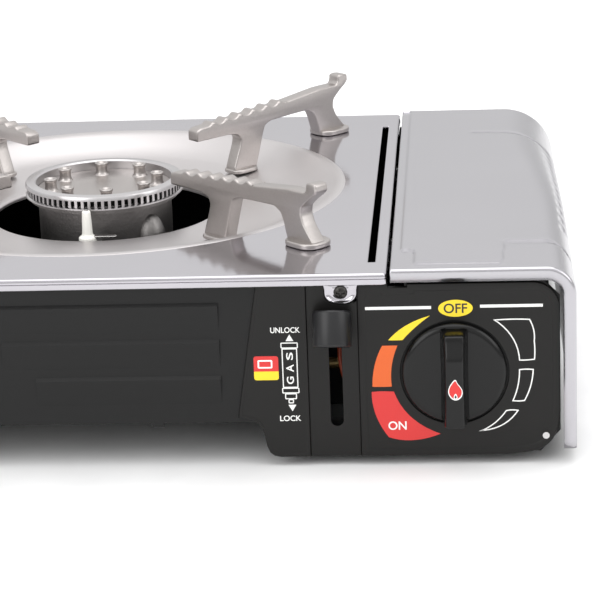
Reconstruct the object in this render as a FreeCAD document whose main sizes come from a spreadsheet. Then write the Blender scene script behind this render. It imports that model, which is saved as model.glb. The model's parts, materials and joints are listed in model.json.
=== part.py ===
"""Portable gas stove with one burner and a gas canister lying in a bay beside it.

Millimetres. +Z is up, +X runs towards the canister bay, -Y is the front with the controls. The origin is
under the middle of the stove, on the surface that its feet stand on.
"""
import FreeCAD, Part
import math
import os
import Sketcher

Vector = FreeCAD.Vector
doc = FreeCAD.newDocument("camping_stove")
sheet = doc.addObject("Spreadsheet::Sheet", "sizes")


class Size:
    """A number together with the sheet expression that gives it, so sums of sizes stay bound."""

    def __init__(self, value, text):
        self.value = value
        self.text = text

    def join(self, sign, other, swap=False):
        left, right = (as_size(other), self) if swap else (self, as_size(other))
        value = {"+": left.value + right.value, "-": left.value - right.value,
                 "*": left.value * right.value,
                 "/": left.value / right.value if right.value else 0.0}[sign]
        return Size(value, "(%s %s %s)" % (left.text, sign, right.text))

    def __add__(self, other):
        return self.join("+", other)

    def __radd__(self, other):
        return self.join("+", other, swap=True)

    def __sub__(self, other):
        return self.join("-", other)

    def __rsub__(self, other):
        return self.join("-", other, swap=True)

    def __mul__(self, other):
        return self.join("*", other)

    def __rmul__(self, other):
        return self.join("*", other, swap=True)

    def __truediv__(self, other):
        return self.join("/", other)

    def __neg__(self):
        return self.join("*", -1)


def as_size(number):
    return number if isinstance(number, Size) else Size(float(number), "%.6g" % number)


def driving(alias, value, note):
    """Writes one driving dimension into the sheet and hands it back as a Size."""
    driving.row += 1
    sheet.set("A%d" % driving.row, note)
    sheet.set("B%d" % driving.row, "%.6g" % value)
    sheet.setAlias("B%d" % driving.row, alias)
    return Size(float(value), "sizes." + alias)


driving.row = 0

# Overall sizes
width = driving("overall_width", 340, "across the stove, left lip to lid wall")
depth = driving("body_depth", 269.7, "panel face to rear wall")
knob_reach = driving("knob_reach", 14.5, "knob in front of the panel face")
skin = driving("sheet_thickness", 1, "pressed sheet")
plate_top = driving("plate_top", 82, "top of the burner plate above the table")
lid_top = driving("lid_top", 83.6, "top of the canister lid above the table")
seam = driving("seam", 97, "left edge of the lid")
lip_drop = driving("lip_drop", 4.7, "depth of the folded lip of the plate")
lid_lap = driving("lid_lap", 1.8, "how far the lid laps over the body front and back")
tray_floor = driving("tray_floor", 19, "underside of the burner tray")
bay_floor = driving("bay_floor", 5, "underside of the canister bay")

# Burner and pan support
burner_x = driving("burner_x", -36.3, "burner centre")
burner_y = driving("burner_y", 10.9, "burner centre")
bowl_rim = driving("bowl_rim", 109, "radius of the drip bowl's rim")
bowl_hole = driving("bowl_hole", 50.4, "radius of the hole in the drip bowl")
bowl_floor = driving("bowl_floor", 72.6, "top of the drip bowl's floor")
ring_radius = driving("ring_radius", 35.1, "top edge of the burner ring")
ring_top = driving("ring_top", 87.3, "top of the burner ring")
flame_slots = driving("flame_slots", 72, "flame slots round the burner ring")
arm_inner = driving("arm_inner", 52.5, "radius of an arm's inner tip")
arm_outer = driving("arm_outer", 148, "radius of an arm's outer peg")
arm_top = driving("arm_top", 105.4, "pan height at the outer end of an arm")
peg_rise = driving("peg_rise", 4.6, "peg above the pan height")
arm_width = driving("arm_width", 7, "thickness of an arm")

# Controls and canister
knob_x = driving("knob_x", 121.1, "knob axis")
knob_z = driving("knob_z", 39.3, "knob axis")
knob_radius = driving("knob_radius", 21.2, "knob disc")
lever_x = driving("lever_x", 72.2, "lever plane")
lever_z = driving("lever_z", 41.2, "lever shaft")
lever_setback = driving("lever_setback", 46, "lever shaft behind the panel face")
lever_rise = driving("lever_rise", 19.3, "lever knob above the shaft when unlocked")
lever_span = driving("lever_span", 51.5, "lever knob in front of the shaft when unlocked")
crank = driving("crank", 15, "crank pin from the shaft's axis")
crank_lean = driving("crank_lean", 20.5, "degrees by which the crank leans back when unlocked")
can_x = driving("can_x", 127.5, "canister axis")
can_z = driving("can_z", 41, "canister axis")
can_radius = driving("can_radius", 33.5, "gas canister")
port_radius = driving("port_radius", 5, "bore that takes the canister's stem")
running = driving("running", 0.05, "radial clearance of a pin that turns in a hole")
doc.recompute()

left = -width / 2
right = width / 2
face = -(depth + lid_lap - knob_reach) / 2
wall_front = face + 1.5
back = face + depth
under_plate = plate_top - skin
shaft_y = face + lever_setback
partition_x = seam - 7
hinge_x = seam + 3.2
hinge_z = lid_top - 3.0

made = []


def keep(item, label):
    """Gives a finished sub-part its node name."""
    item.Label = label
    made.append(item)
    return item


def plane_of(body, role):
    return [item for item in body.Origin.OriginFeatures if item.Role == role][0]


class Piece:
    """A PartDesign body, built by pads, pockets and revolutions of bound sketches.

    Sketch axes are (x, y) on XY, (x, z) on XZ and (y, z) on YZ.
    """

    def __init__(self, label, at=(0, 0, 0)):
        self.body = doc.addObject("PartDesign::Body", label)
        self.label = label
        for axis, value in zip("xyz", at):
            self.body.setExpression("Placement.Base." + axis, as_size(value).text)
        self.count = 0

    def feature(self, kind):
        self.count += 1
        return self.body.newObject(kind, "%s_%d" % (self.label, self.count))

    def sketch(self, plane, offset, loops):
        drawing = self.feature("Sketcher::SketchObject")
        drawing.AttachmentSupport = (plane_of(self.body, plane + "_Plane"), [""])
        drawing.MapMode = "FlatFace"
        drawing.setExpression("AttachmentOffset.Base.z", offset.text)
        for loop in loops:
            if isinstance(loop, Circle):
                draw_circle(drawing, loop)
            else:
                draw_polygon(drawing, loop)
        return drawing

    def pad(self, plane, start, length, *loops):
        """Adds the loops from start, length onwards along the plane's axis."""
        start, length = as_size(start), as_size(length)
        offset = -(start + length) if plane == "XZ" else start
        pad = self.feature_from("PartDesign::Pad", plane, offset, loops)
        pad.setExpression("Length", length.text)
        return self

    def pocket(self, plane, start, length, *loops):
        """Cuts the loops from start, length onwards along the plane's axis."""
        start, length = as_size(start), as_size(length)
        offset = -start if plane == "XZ" else start + length
        self.cut = self.feature_from("PartDesign::Pocket", plane, offset, loops)
        self.cut.setExpression("Length", length.text)
        return self

    def feature_from(self, kind, plane, offset, loops):
        drawing = self.sketch(plane, offset, loops)
        feature = self.feature(kind)
        feature.Profile = drawing
        return feature

    def revolve(self, loop):
        """Turns an (r, z) outline about the body's own Z axis."""
        drawing = self.sketch("XZ", as_size(0), [loop])
        turned = self.feature("PartDesign::Revolution")
        turned.Profile = drawing
        turned.ReferenceAxis = (drawing, ["V_Axis"])
        turned.Angle = 360
        return self

    def repeat_round(self, count):
        """Repeats the last pocket about the body's Z axis."""
        doc.recompute()
        pattern = self.feature("PartDesign::PolarPattern")
        pattern.Originals = [self.cut]
        pattern.Axis = (plane_of(self.body, "Z_Axis"), [""])
        pattern.Angle = 360
        pattern.setExpression("Occurrences", as_size(count).text)
        self.body.Tip = pattern
        return self

    def round_edges(self, radius, chosen):
        """Rounds the edges whose middle point passes the chosen test."""
        doc.recompute()
        base = self.body.Tip
        names = []
        for number, edge in enumerate(base.Shape.Edges, 1):
            middle = edge.valueAt((edge.FirstParameter + edge.LastParameter) / 2)
            if chosen(edge, middle):
                names.append("Edge%d" % number)
        rounding = self.feature("PartDesign::Fillet")
        rounding.Base = (base, names)
        rounding.setExpression("Radius", as_size(radius).text)
        return self

    def done(self):
        return keep(self.body, self.label)


class Circle:
    def __init__(self, across, up, radius):
        self.across, self.up, self.radius = as_size(across), as_size(up), as_size(radius)


def rectangle(x0, x1, y0, y1):
    return [(x0, y0), (x1, y0), (x1, y1), (x0, y1)]


def bind_last(drawing, size):
    drawing.setExpression("Constraints[%d]" % (drawing.ConstraintCount - 1), size.text)


def place_point(drawing, geometry, position, across, up):
    for kind, size in (("DistanceX", across), ("DistanceY", up)):
        drawing.addConstraint(Sketcher.Constraint(kind, -1, 1, geometry, position, size.value))
        bind_last(drawing, size)


def draw_polygon(drawing, corners):
    corners = [(as_size(across), as_size(up)) for across, up in corners]
    first = drawing.GeometryCount
    total = len(corners)
    for index, (across, up) in enumerate(corners):
        ahead = corners[(index + 1) % total]
        drawing.addGeometry(Part.LineSegment(Vector(across.value, up.value, 0),
                                             Vector(ahead[0].value, ahead[1].value, 0)), False)
    for index, (across, up) in enumerate(corners):
        here = first + index
        drawing.addConstraint(Sketcher.Constraint("Coincident", here, 2, first + (index + 1) % total, 1))
        place_point(drawing, here, 1, across, up)


def draw_circle(drawing, circle):
    centre = Vector(circle.across.value, circle.up.value, 0)
    here = drawing.addGeometry(Part.Circle(centre, Vector(0, 0, 1), circle.radius.value), False)
    place_point(drawing, here, 3, circle.across, circle.up)
    drawing.addConstraint(Sketcher.Constraint("Radius", here, circle.radius.value))
    bind_last(drawing, circle.radius)


def bind(item, **sizes):
    for name, size in sizes.items():
        item.setExpression(name.replace("_", "."), as_size(size).text)
    return item


def block(x0, x1, y0, y1, z0, z1):
    """A box between two corners."""
    item = doc.addObject("Part::Box", "block")
    bind(item, Length=as_size(x1) - x0, Width=as_size(y1) - y0, Height=as_size(z1) - z0)
    return bind(item, Placement_Base_x=x0, Placement_Base_y=y0, Placement_Base_z=z0)


TURNS = {"x": FreeCAD.Rotation(Vector(0, 1, 0), 90), "y": FreeCAD.Rotation(Vector(1, 0, 0), -90),
         "z": FreeCAD.Rotation()}


def rod(axis, x, y, z, radius, length, turn=None):
    """A cylinder that starts at a point and runs along an axis, or along the axis of a given turn."""
    item = doc.addObject("Part::Cylinder", "rod")
    item.Placement = FreeCAD.Placement(Vector(), turn or TURNS[axis])
    bind(item, Radius=radius, Height=length)
    return bind(item, Placement_Base_x=x, Placement_Base_y=y, Placement_Base_z=z)


def cone(x, y, z, low_radius, high_radius, height):
    item = doc.addObject("Part::Cone", "cone")
    bind(item, Radius1=low_radius, Radius2=high_radius, Height=height)
    return bind(item, Placement_Base_x=x, Placement_Base_y=y, Placement_Base_z=z)


def joined(*items):
    if len(items) == 1:
        return items[0]
    item = doc.addObject("Part::MultiFuse", "joined")
    item.Shapes = list(items)
    return item


def cut_from(base, *tools):
    item = doc.addObject("Part::Cut", "cut")
    item.Base = base
    item.Tool = joined(*tools)
    return item


def round_burner(radius, degrees):
    """A point at a radius and a bearing round the burner's axis."""
    return (burner_x + radius * math.cos(math.radians(degrees)),
            burner_y + radius * math.sin(math.radians(degrees)))


ARM_BEARINGS = {"front_right": -45, "back_right": 45, "back_left": 135, "front_left": -135}


# ---------------------------------------------------------------- casing

def make_body_shell():
    """Bent tray: a high floor under the burner, a deep floor under the canister, front and rear walls."""
    x0, x1 = left + 1.5, right - 6.5
    step_left, step_right = 44, 49.5
    sill = bay_floor + 29
    outline = [(x0, under_plate), (x0, tray_floor), (step_left, tray_floor), (step_right, bay_floor),
               (x1 - 8, bay_floor), (x1, bay_floor + 9), (x1, under_plate - 10), (x1 - 10, under_plate)]
    section = outline[:6] + [
        (x1, sill), (x1 - skin, sill), (x1 - skin, bay_floor + 9.4), (x1 - 8.4, bay_floor + skin),
        (step_right + 0.4 * skin, bay_floor + skin),
        (step_left + 0.4 * skin, tray_floor + skin), (x0 + skin, tray_floor + skin), (x0 + skin, under_plate)]
    shell = Piece("body_shell")
    shell.pad("XZ", wall_front, back - wall_front, section)
    shell.pad("XZ", wall_front, skin, outline)
    shell.pad("XZ", back - skin, skin, outline)
    # Three pressed ledges on each side of the plain middle of the front wall
    ledge_step, ledge_fall = 15.5, 12
    for row in range(3):
        top = 70.2 - row * ledge_step
        wedge = [(wall_front, top), (wall_front - 1.4, top - 1.2), (wall_front, top - ledge_fall)]
        shell.pad("YZ", -75 + 13 * row, 101.5 - 13 * row, wedge)
        shell.pad("YZ", -163, 48 - 13 * row, wedge)
    shell.pad("XZ", wall_front, skin, rectangle(-2.5, 2.5, tray_floor - 1.6, tray_floor + skin))
    # Window behind the lever slot, and the hole for the valve spindle
    shell.pocket("XZ", wall_front - 1, skin + 2, rectangle(lever_x - 4, lever_x + 6, 12, 69),
                 Circle(knob_x, knob_z, 6), Circle(lever_x + 4, plate_top - lip_drop - 3, 1.6))
    # Notches that the lid's inner edge swings down into
    shell.pocket("XZ", wall_front - 1, back - wall_front + 2, rectangle(seam - 2, seam + 4.6, lid_top - 8, lid_top))
    # Holes for the screws that hold the burner bracket
    shell.pocket("XY", tray_floor - 1, skin + 2, *[Circle(burner_x + side * 38, burner_y, 2.1) for side in (-1, 1)])
    shell.done()


def make_top_plate():
    """Burner plate with folded lips, a round opening for the drip bowl and a vent slot by the seam."""
    x0, x1 = left, seam - 1.8
    y0, y1 = face - 1.3, back + 1.3
    low = plate_top - lip_drop
    plate = Piece("top_plate")
    plate.pad("XY", low, lip_drop, rectangle(x0, x1, y0, y1))
    plate.pocket("XY", low, lip_drop - skin, rectangle(x0 + skin, x1 + 1, y0 + skin, y1 - skin))
    tab_x0, tab_x1 = lever_x - 2.2, lever_x + 10.2
    plate.pad("XZ", face - 0.5, 1.3, rectangle(tab_x0, tab_x1, low - 7.4, low + 1))
    slot_x0 = seam - 10.1
    plate.pocket("XY", plate_top - 2, 3,
                 Circle(burner_x, burner_y, bowl_rim - 5),
                 rectangle(slot_x0, slot_x0 + 2.9, face + 15, face + 246),
                 *[Circle(*round_burner(138, bearing), 2) for bearing in ARM_BEARINGS.values()])
    plate.pocket("XZ", face - 2, 4, Circle(tab_x0 + 6.2, low - 3, 1.55))
    plate.round_edges(2.5, lambda edge, at: at.x < left.value + 0.1
                      and abs(edge.BoundBox.ZLength - lip_drop.value) < 0.1)
    plate.done()


def make_control_panel():
    """Front panel round the knob and lever, with a shallow channel for the lever."""
    top = plate_top - lip_drop - 0.2
    x_right = right - 6.5
    outline = [(42, top), (33, 22.2), (33.4, 20.8), (38.5, 19.5), (42, 16.5), (44.3, 12.5), (46, 8), (49.4, 5.1),
               (53.5, bay_floor - 1), (143, bay_floor - 1), (153, 5), (159.5, 8.5), (162.6, 15), (x_right, 22),
               (x_right, top - 9), (x_right - 2.6, top - 2.6), (x_right - 9, top)]
    notch = (lever_x - 2.7, lever_x + 10.7)
    panel = Piece("control_panel")
    panel.pad("XZ", face, 1.5, outline)
    panel.pocket("XZ", face - 1, 1.8, rectangle(lever_x - 10.1, lever_x + 10.5, bay_floor - 2, top + 1))
    panel.pocket("XZ", face - 1, 3.5, rectangle(notch[0], notch[1], 69, top + 1))
    panel.pocket("XZ", face - 1, 3.5, rectangle(lever_x - 1.5, lever_x + 3.6, 17, 66))
    panel.pocket("XZ", face - 1, 3.5, Circle(knob_x, knob_z, knob_radius + 0.5), Circle(157.6, 12.2, 1))
    panel.done()


def make_drip_bowl():
    """Pressed bowl: a rolled rim on the plate, a sloping side and a flat floor with a turned-down edge."""
    bottom_radius = bowl_rim - 20.5
    shape = [(bowl_rim, plate_top), (bowl_rim, plate_top + 0.9), (bowl_rim - 3, plate_top + 1.2),
             (bowl_rim - 6, plate_top), (bottom_radius, bowl_floor + 1.2), (bowl_hole + 3, bowl_floor),
             (bowl_hole, bowl_floor - 1), (bowl_hole, bowl_floor - 3), (bowl_hole + 1, bowl_floor - 3),
             (bowl_hole + 3.6, bowl_floor - skin), (bottom_radius + 0.4, bowl_floor + 1.2 - skin),
             (bowl_rim - 5.6, plate_top - skin - 0.3), (bowl_rim - 5.3, plate_top)]
    bowl = Piece("drip_bowl", (burner_x, burner_y, 0)).revolve(shape)
    for bearing in ARM_BEARINGS.values():
        turn = math.radians(bearing)
        bowl.pocket("XY", bowl_floor - 5, 10, Circle(82 * math.cos(turn), 82 * math.sin(turn), 2))
    bowl.done()


def make_lid():
    """Lid over the canister: top, outer side wall and narrow flanges at front and rear."""
    y0, y1 = face - lid_lap, back + lid_lap
    low = bay_floor + 2
    corner = 14
    lid = Piece("canister_lid")
    lid.pad("XZ", y0, y1 - y0, rectangle(seam, right, low, lid_top))
    lid.round_edges(corner, lambda edge, at: at.x > right.value - 0.1 and at.z > lid_top.value - 0.1
                    and edge.BoundBox.YLength > 100)
    slope = corner * 0.293
    inner = [(seam - 1, low - 1), (seam - 1, lid_top - skin), (right - corner, lid_top - skin),
             (right - slope - skin, lid_top - slope - skin), (right - skin, lid_top - corner), (right - skin, low - 1)]
    lid.pocket("XZ", y0 + skin, y1 - y0 - 2 * skin, inner)
    window_top = lid_top - 5.3
    side = right - 6
    lid.pocket("XZ", y0 - 1, y1 - y0 + 2,
               [(seam - 1, low - 1), (seam - 1, window_top), (side - 8, window_top), (side - 2.3, window_top - 2.3),
                (side, window_top - 8), (side, low - 1)])
    for y_tab in hinge_places(4.4):
        lid.pad("XZ", y_tab, 3, rectangle(hinge_x - 2.2, hinge_x + 2.2, hinge_z - 2.2, lid_top - skin))
    lid.pocket("XZ", face + 60, 150, Circle(hinge_x, hinge_z, 1.5 + running))
    lid.done()


def hinge_places(gap):
    """Where an ear of the front and of the rear hinge starts, gap beyond the bracket's own ear."""
    return face + 70 + gap, back - 80 + gap


def make_hinge():
    """Two brackets on the partition, each with a fixed pin that the lid's tabs turn on."""
    ears = []
    for y0 in hinge_places(0):
        arm = block(partition_x + skin, hinge_x + 4.5, y0, y0 + 4, hinge_z - 11, hinge_z - 6)
        ear = block(hinge_x - 1.1, hinge_x + 4.5, y0, y0 + 4, hinge_z - 11, hinge_z + 1.2)
        ears += [arm, ear]
    keep(joined(*ears), "hinge_brackets")
    keep(joined(*[rod("y", hinge_x, y0, hinge_z, 1.5, 3.6) for y0 in hinge_places(4)]), "hinge_pins")


def make_partition():
    """Upright heat shield between the burner and the canister."""
    wall = Piece("partition_wall")
    wall.pad("YZ", partition_x, skin, rectangle(face + 66, back - skin, bay_floor + skin, under_plate))
    for column in range(5):
        wall.pocket("YZ", partition_x - 1, skin + 2,
                    rectangle(face + 110 + column * 22, face + 122 + column * 22, 34, 60))
    wall.done()


def make_cradle():
    """Saddle that the canister lies in."""
    saddle = block(can_x - 20, can_x + 20, face + 90, back - 30, bay_floor + skin, bay_floor + 8)
    keep(cut_from(saddle, rod("y", can_x, face + 60, can_z, can_radius + 0.5, 220)), "canister_cradle")


def make_feet():
    tall = [rod("z", left + 25, y, 0, 8, tray_floor) for y in (face + 34, back - 34)]
    keep(joined(*tall), "tall_feet")
    short = [rod("z", right - 32, y, 0, 7, bay_floor) for y in (face + 30, back - 30)]
    keep(joined(*short), "short_feet")


# ---------------------------------------------------------------- burner

def make_burner_body():
    """Cast cup on a stem, with a mixing tube that runs forwards and right to the gas jet."""
    tube_turn = FreeCAD.Rotation(Vector(0, 0, 1), -45) * TURNS["x"]
    tube_z = as_size(48)
    outside = joined(rod("z", burner_x, burner_y, 60, 30, 19), cone(burner_x, burner_y, 50, 12, 30, 10),
                     rod("z", burner_x, burner_y, 36, 12, 16), rod("z", burner_x, burner_y, 79, 33.4, 1.8),
                     rod("x", burner_x, burner_y, tube_z, 9, 92, tube_turn),
                     rod("x", *round_burner(84, -45), tube_z, 11, 8, tube_turn))
    inside = joined(rod("z", burner_x, burner_y, 60, 27.5, 22), cone(burner_x, burner_y, 52, 9.5, 27.5, 8),
                    rod("z", burner_x, burner_y, 39, 9.5, 16),
                    rod("x", burner_x, burner_y, tube_z, 7, 100, tube_turn))
    keep(cut_from(outside, inside), "burner_body")


def make_burner_ring():
    """Ring with a row of narrow flame slots under its top edge."""
    ring_low = ring_top - 6.5
    ring = Piece("burner_ring", (burner_x, burner_y, 0))
    ring.revolve([(30.6, ring_low), (ring_radius + 0.4, ring_low), (ring_radius + 0.4, ring_top - 2.2),
                  (ring_radius, ring_top), (30.6, ring_top)])
    ring.pocket("YZ", ring_radius - 2.6, 5, rectangle(-0.6, 0.6, ring_low + 1.2, ring_top - 2.4))
    ring.repeat_round(flame_slots)
    ring.done()


def make_burner_crown():
    """Disc inside the ring with eight round studs."""
    seat = ring_top - 6.5
    crown = Piece("burner_crown", (burner_x, burner_y, 0))
    crown.pad("XY", seat, 2, Circle(0, 0, 30.4))
    studs = [Circle(24 * math.cos(math.radians(45 * index)), 24 * math.sin(math.radians(45 * index)), 3.3)
             for index in range(8)]
    crown.pad("XY", seat + 2, ring_top - seat - 1.2, *studs)
    crown.done()


def make_burner_bracket():
    """Strap under the burner's stem, screwed to the tray."""
    z0 = tray_floor + skin
    strap = Piece("burner_bracket")
    strap.pad("XZ", burner_y - 9, 18,
              [(burner_x - 45, z0), (burner_x - 45, z0 + 1.5), (burner_x - 30, z0 + 1.5), (burner_x - 16, 36),
               (burner_x + 16, 36), (burner_x + 30, z0 + 1.5), (burner_x + 45, z0 + 1.5), (burner_x + 45, z0),
               (burner_x + 29, z0), (burner_x + 15, 34.5), (burner_x - 15, 34.5), (burner_x - 29, z0)])
    strap.pocket("XY", z0 - 1, 4, *[Circle(burner_x + side * 38, burner_y, 2.1) for side in (-1, 1)])
    strap.done()
    z_head = tray_floor - 2.2
    screws = [joined(rod("z", burner_x + side * 38, burner_y, z_head, 3.6, 2.2),
                     rod("z", burner_x + side * 38, burner_y, z_head, 1.95, 8)) for side in (-1, 1)]
    keep(joined(*screws), "bracket_screws")


def make_electrode():
    """Ceramic spark post beside the ring, its wire and the tab that carries it."""
    x, y = burner_x - 2.7, burner_y - 41.4
    keep(joined(rod("z", x, y, 60, 2, 20.5), rod("z", x, y, 66, 4, 3)), "electrode_ceramic")
    keep(rod("z", x, y, 80.5, 0.8, 3), "electrode_tip")
    tab = joined(block(x - 4.5, x + 4.5, y - 5, burner_y - 28.9, 64.5, 66))
    keep(cut_from(tab, rod("z", x, y, 64, 2, 3), rod("z", burner_x, burner_y, 64, 30, 3)), "electrode_bracket")


def make_arms():
    """Four cast arms, each with two legs, a row of grip teeth and a peg at its outer end."""
    z_tip = arm_top - 5.6
    tooth_pitch, tooth_rise = 8.2, 1.0
    teeth = []
    for index in range(6):
        r = arm_inner + 8.5 + index * tooth_pitch
        z = z_tip + 0.3 + index * 0.55
        teeth += [(r, z), (r + 1.2, z + tooth_rise), (r + 3.2, z + tooth_rise), (r + 4.4, z + 0.2)]
    top = [(arm_inner, z_tip - 6.5), (arm_inner, z_tip - 1.4), (arm_inner + 2.5, z_tip)] + teeth
    outer = [(arm_outer - 42, arm_top - 2.8), (arm_outer - 18, arm_top), (arm_outer - 7, arm_top),
             (arm_outer - 6.4, arm_top + peg_rise), (arm_outer, arm_top + peg_rise), (arm_outer, arm_top + 1.5),
             (arm_outer - 5.5, arm_top - 3), (arm_outer - 10, arm_top - 7), (arm_outer - 10, arm_top - 12),
             (arm_outer - 6, arm_top - 17), (arm_outer - 1.5, plate_top + 1.9), (arm_outer - 1.5, plate_top + 0.9),
             (arm_outer - 18, plate_top + 0.9), (arm_outer - 19.4, plate_top + 2), (arm_outer - 21.4, plate_top + 9)]
    arch = [(arm_outer - 22.8, plate_top + 12.2), (arm_outer - 26.5, plate_top + 14.6),
            (arm_outer - 36, plate_top + 14.2), (arm_outer - 52.6, plate_top + 13.4), (arm_outer - 54.5, plate_top + 10)]
    foot_z = bowl_floor + 1.25
    inner = [(88, foot_z + 2), (87.8, foot_z), (74, foot_z), (74.4, foot_z + 2), (79.3, plate_top + 6.5),
             (79, plate_top + 8.8), (77, plate_top + 10.4), (72, plate_top + 11.6)]
    for name, bearing in ARM_BEARINGS.items():
        arm = Piece("pan_arm_" + name)
        arm.pad("XZ", -arm_width / 2, arm_width, top + outer + arch + inner)
        arm.pad("XY", plate_top + 0.9, 2, rectangle(arm_outer - 19, arm_outer - 1, -8, 8))
        arm.pad("XY", foot_z, 2, rectangle(73.5, 88, -6, 6))
        arm.pocket("XY", plate_top, 9, Circle(138, 0, 2))
        arm.pocket("XY", foot_z - 1, 9, Circle(82, 0, 2))
        arm.body.Placement = FreeCAD.Placement(Vector(), FreeCAD.Rotation(Vector(0, 0, 1), bearing))
        arm.body.setExpression("Placement.Base.x", burner_x.text)
        arm.body.setExpression("Placement.Base.y", burner_y.text)
        arm.done()


def make_arm_screws():
    """Pan-head screws from below: one through the plate and one through the bowl for each arm."""
    screws = []
    for bearing in ARM_BEARINGS.values():
        for radius, seat in ((138, under_plate), (82, bowl_floor - skin + 0.75)):
            x, y = round_burner(radius, bearing)
            screws.append(joined(rod("z", x, y, seat - 2.4, 3.6, 2.4), rod("z", x, y, seat - 2.4, 1.9, 8.5)))
    keep(joined(*screws), "arm_screws")


# ---------------------------------------------------------------- gas valve and knob

def make_valve():
    """Cast valve and regulator in line with the canister, on two legs."""
    drum_y = face + 34
    drum_end = face + 64
    solid = joined(rod("y", knob_x, face + 12, knob_z, 15, 24), rod("y", can_x, drum_y, can_z, 22, drum_end - drum_y),
                   rod("y", can_x, drum_end, can_z, 9, 3),
                   block(partition_x + 8, can_x - 6, face + 55, face + 63.5, 19, 29),
                   *[block(x, x + 7, face + 40, face + 60, bay_floor + skin, 30) for x in (can_x - 17, can_x + 10)])
    keep(cut_from(solid, rod("y", can_x, drum_end - 5, can_z, port_radius, 10),
                  rod("y", can_x, drum_end - 7, can_z, 4, 3),
                  rod("y", knob_x, face + 11, knob_z, 3 + running, 17)), "valve_body")
    seal = cut_from(rod("y", can_x, drum_end - 7, can_z, 4, 2), rod("y", can_x, drum_end - 8, can_z, 2, 4))
    keep(seal, "port_seal")


def make_gas_line():
    """Straight pipe from the valve to the jet block, and the jet that blows into the mixing tube."""
    pipe_y, pipe_z = face + 59.8, as_size(24)
    pipe_x = as_size(53)
    keep(rod("x", pipe_x, pipe_y, pipe_z, 2.5, partition_x + 8 - pipe_x), "gas_pipe")
    jet_block = block(pipe_x - 12, pipe_x, pipe_y - 6, pipe_y + 6, tray_floor + 1.2, 54)
    keep(jet_block, "jet_block")
    jet_turn = FreeCAD.Rotation(Vector(0, 0, 1), 135) * TURNS["x"]
    keep(joined(*[rod("x", *round_burner(110, -45), as_size(48), radius, length, jet_turn)
                  for radius, length in ((3.5, 7), (1.8, 14))]), "gas_jet")


def make_knob():
    """Round control knob with a raised grip bar, on the valve's spindle."""
    knob = Piece("control_knob")
    knob.pad("XZ", face - 2.5, 3.6, Circle(knob_x, knob_z, knob_radius))
    grip_half, bar_half = 5.1, 19.8
    knob.pad("XZ", face - knob_reach, knob_reach - 2,
             rectangle(knob_x - grip_half, knob_x + grip_half, knob_z - bar_half, knob_z + bar_half))
    knob.pocket("XZ", face - 4, 6, Circle(knob_x, knob_z, 3))
    knob.round_edges(1.2, lambda edge, at: at.y < face.value - knob_reach.value + 0.01)
    knob.done()
    keep(rod("y", knob_x, face - 4, knob_z, 3, 31), "valve_spindle")
    cam = Piece("igniter_cam")
    cam.pad("XZ", face + 4, 5, Circle(knob_x, knob_z, 5.5))
    cam.pad("XZ", face + 4, 5, rectangle(knob_x - 1.5, knob_x + 1.5, knob_z + 4, knob_z + 12))
    cam.pocket("XZ", face + 3, 7, Circle(knob_x, knob_z, 3))
    cam.done()


def make_igniter():
    """Piezo igniter below the spindle: a case and the plunger that the cam presses."""
    x, y = knob_x - 7.7, face + 7.5
    case = block(x - 5.5, x + 5.5, y - 4, y + 4, bay_floor + skin, 27)
    keep(cut_from(case, block(x - 3.1, x + 3.1, y - 3.1, y + 3.1, 13, 28)), "igniter_case")
    keep(block(x - 2.5, x + 2.5, y - 2.5, y + 2.5, 20, 33.3), "igniter_plunger")


# ---------------------------------------------------------------- canister lock

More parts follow.
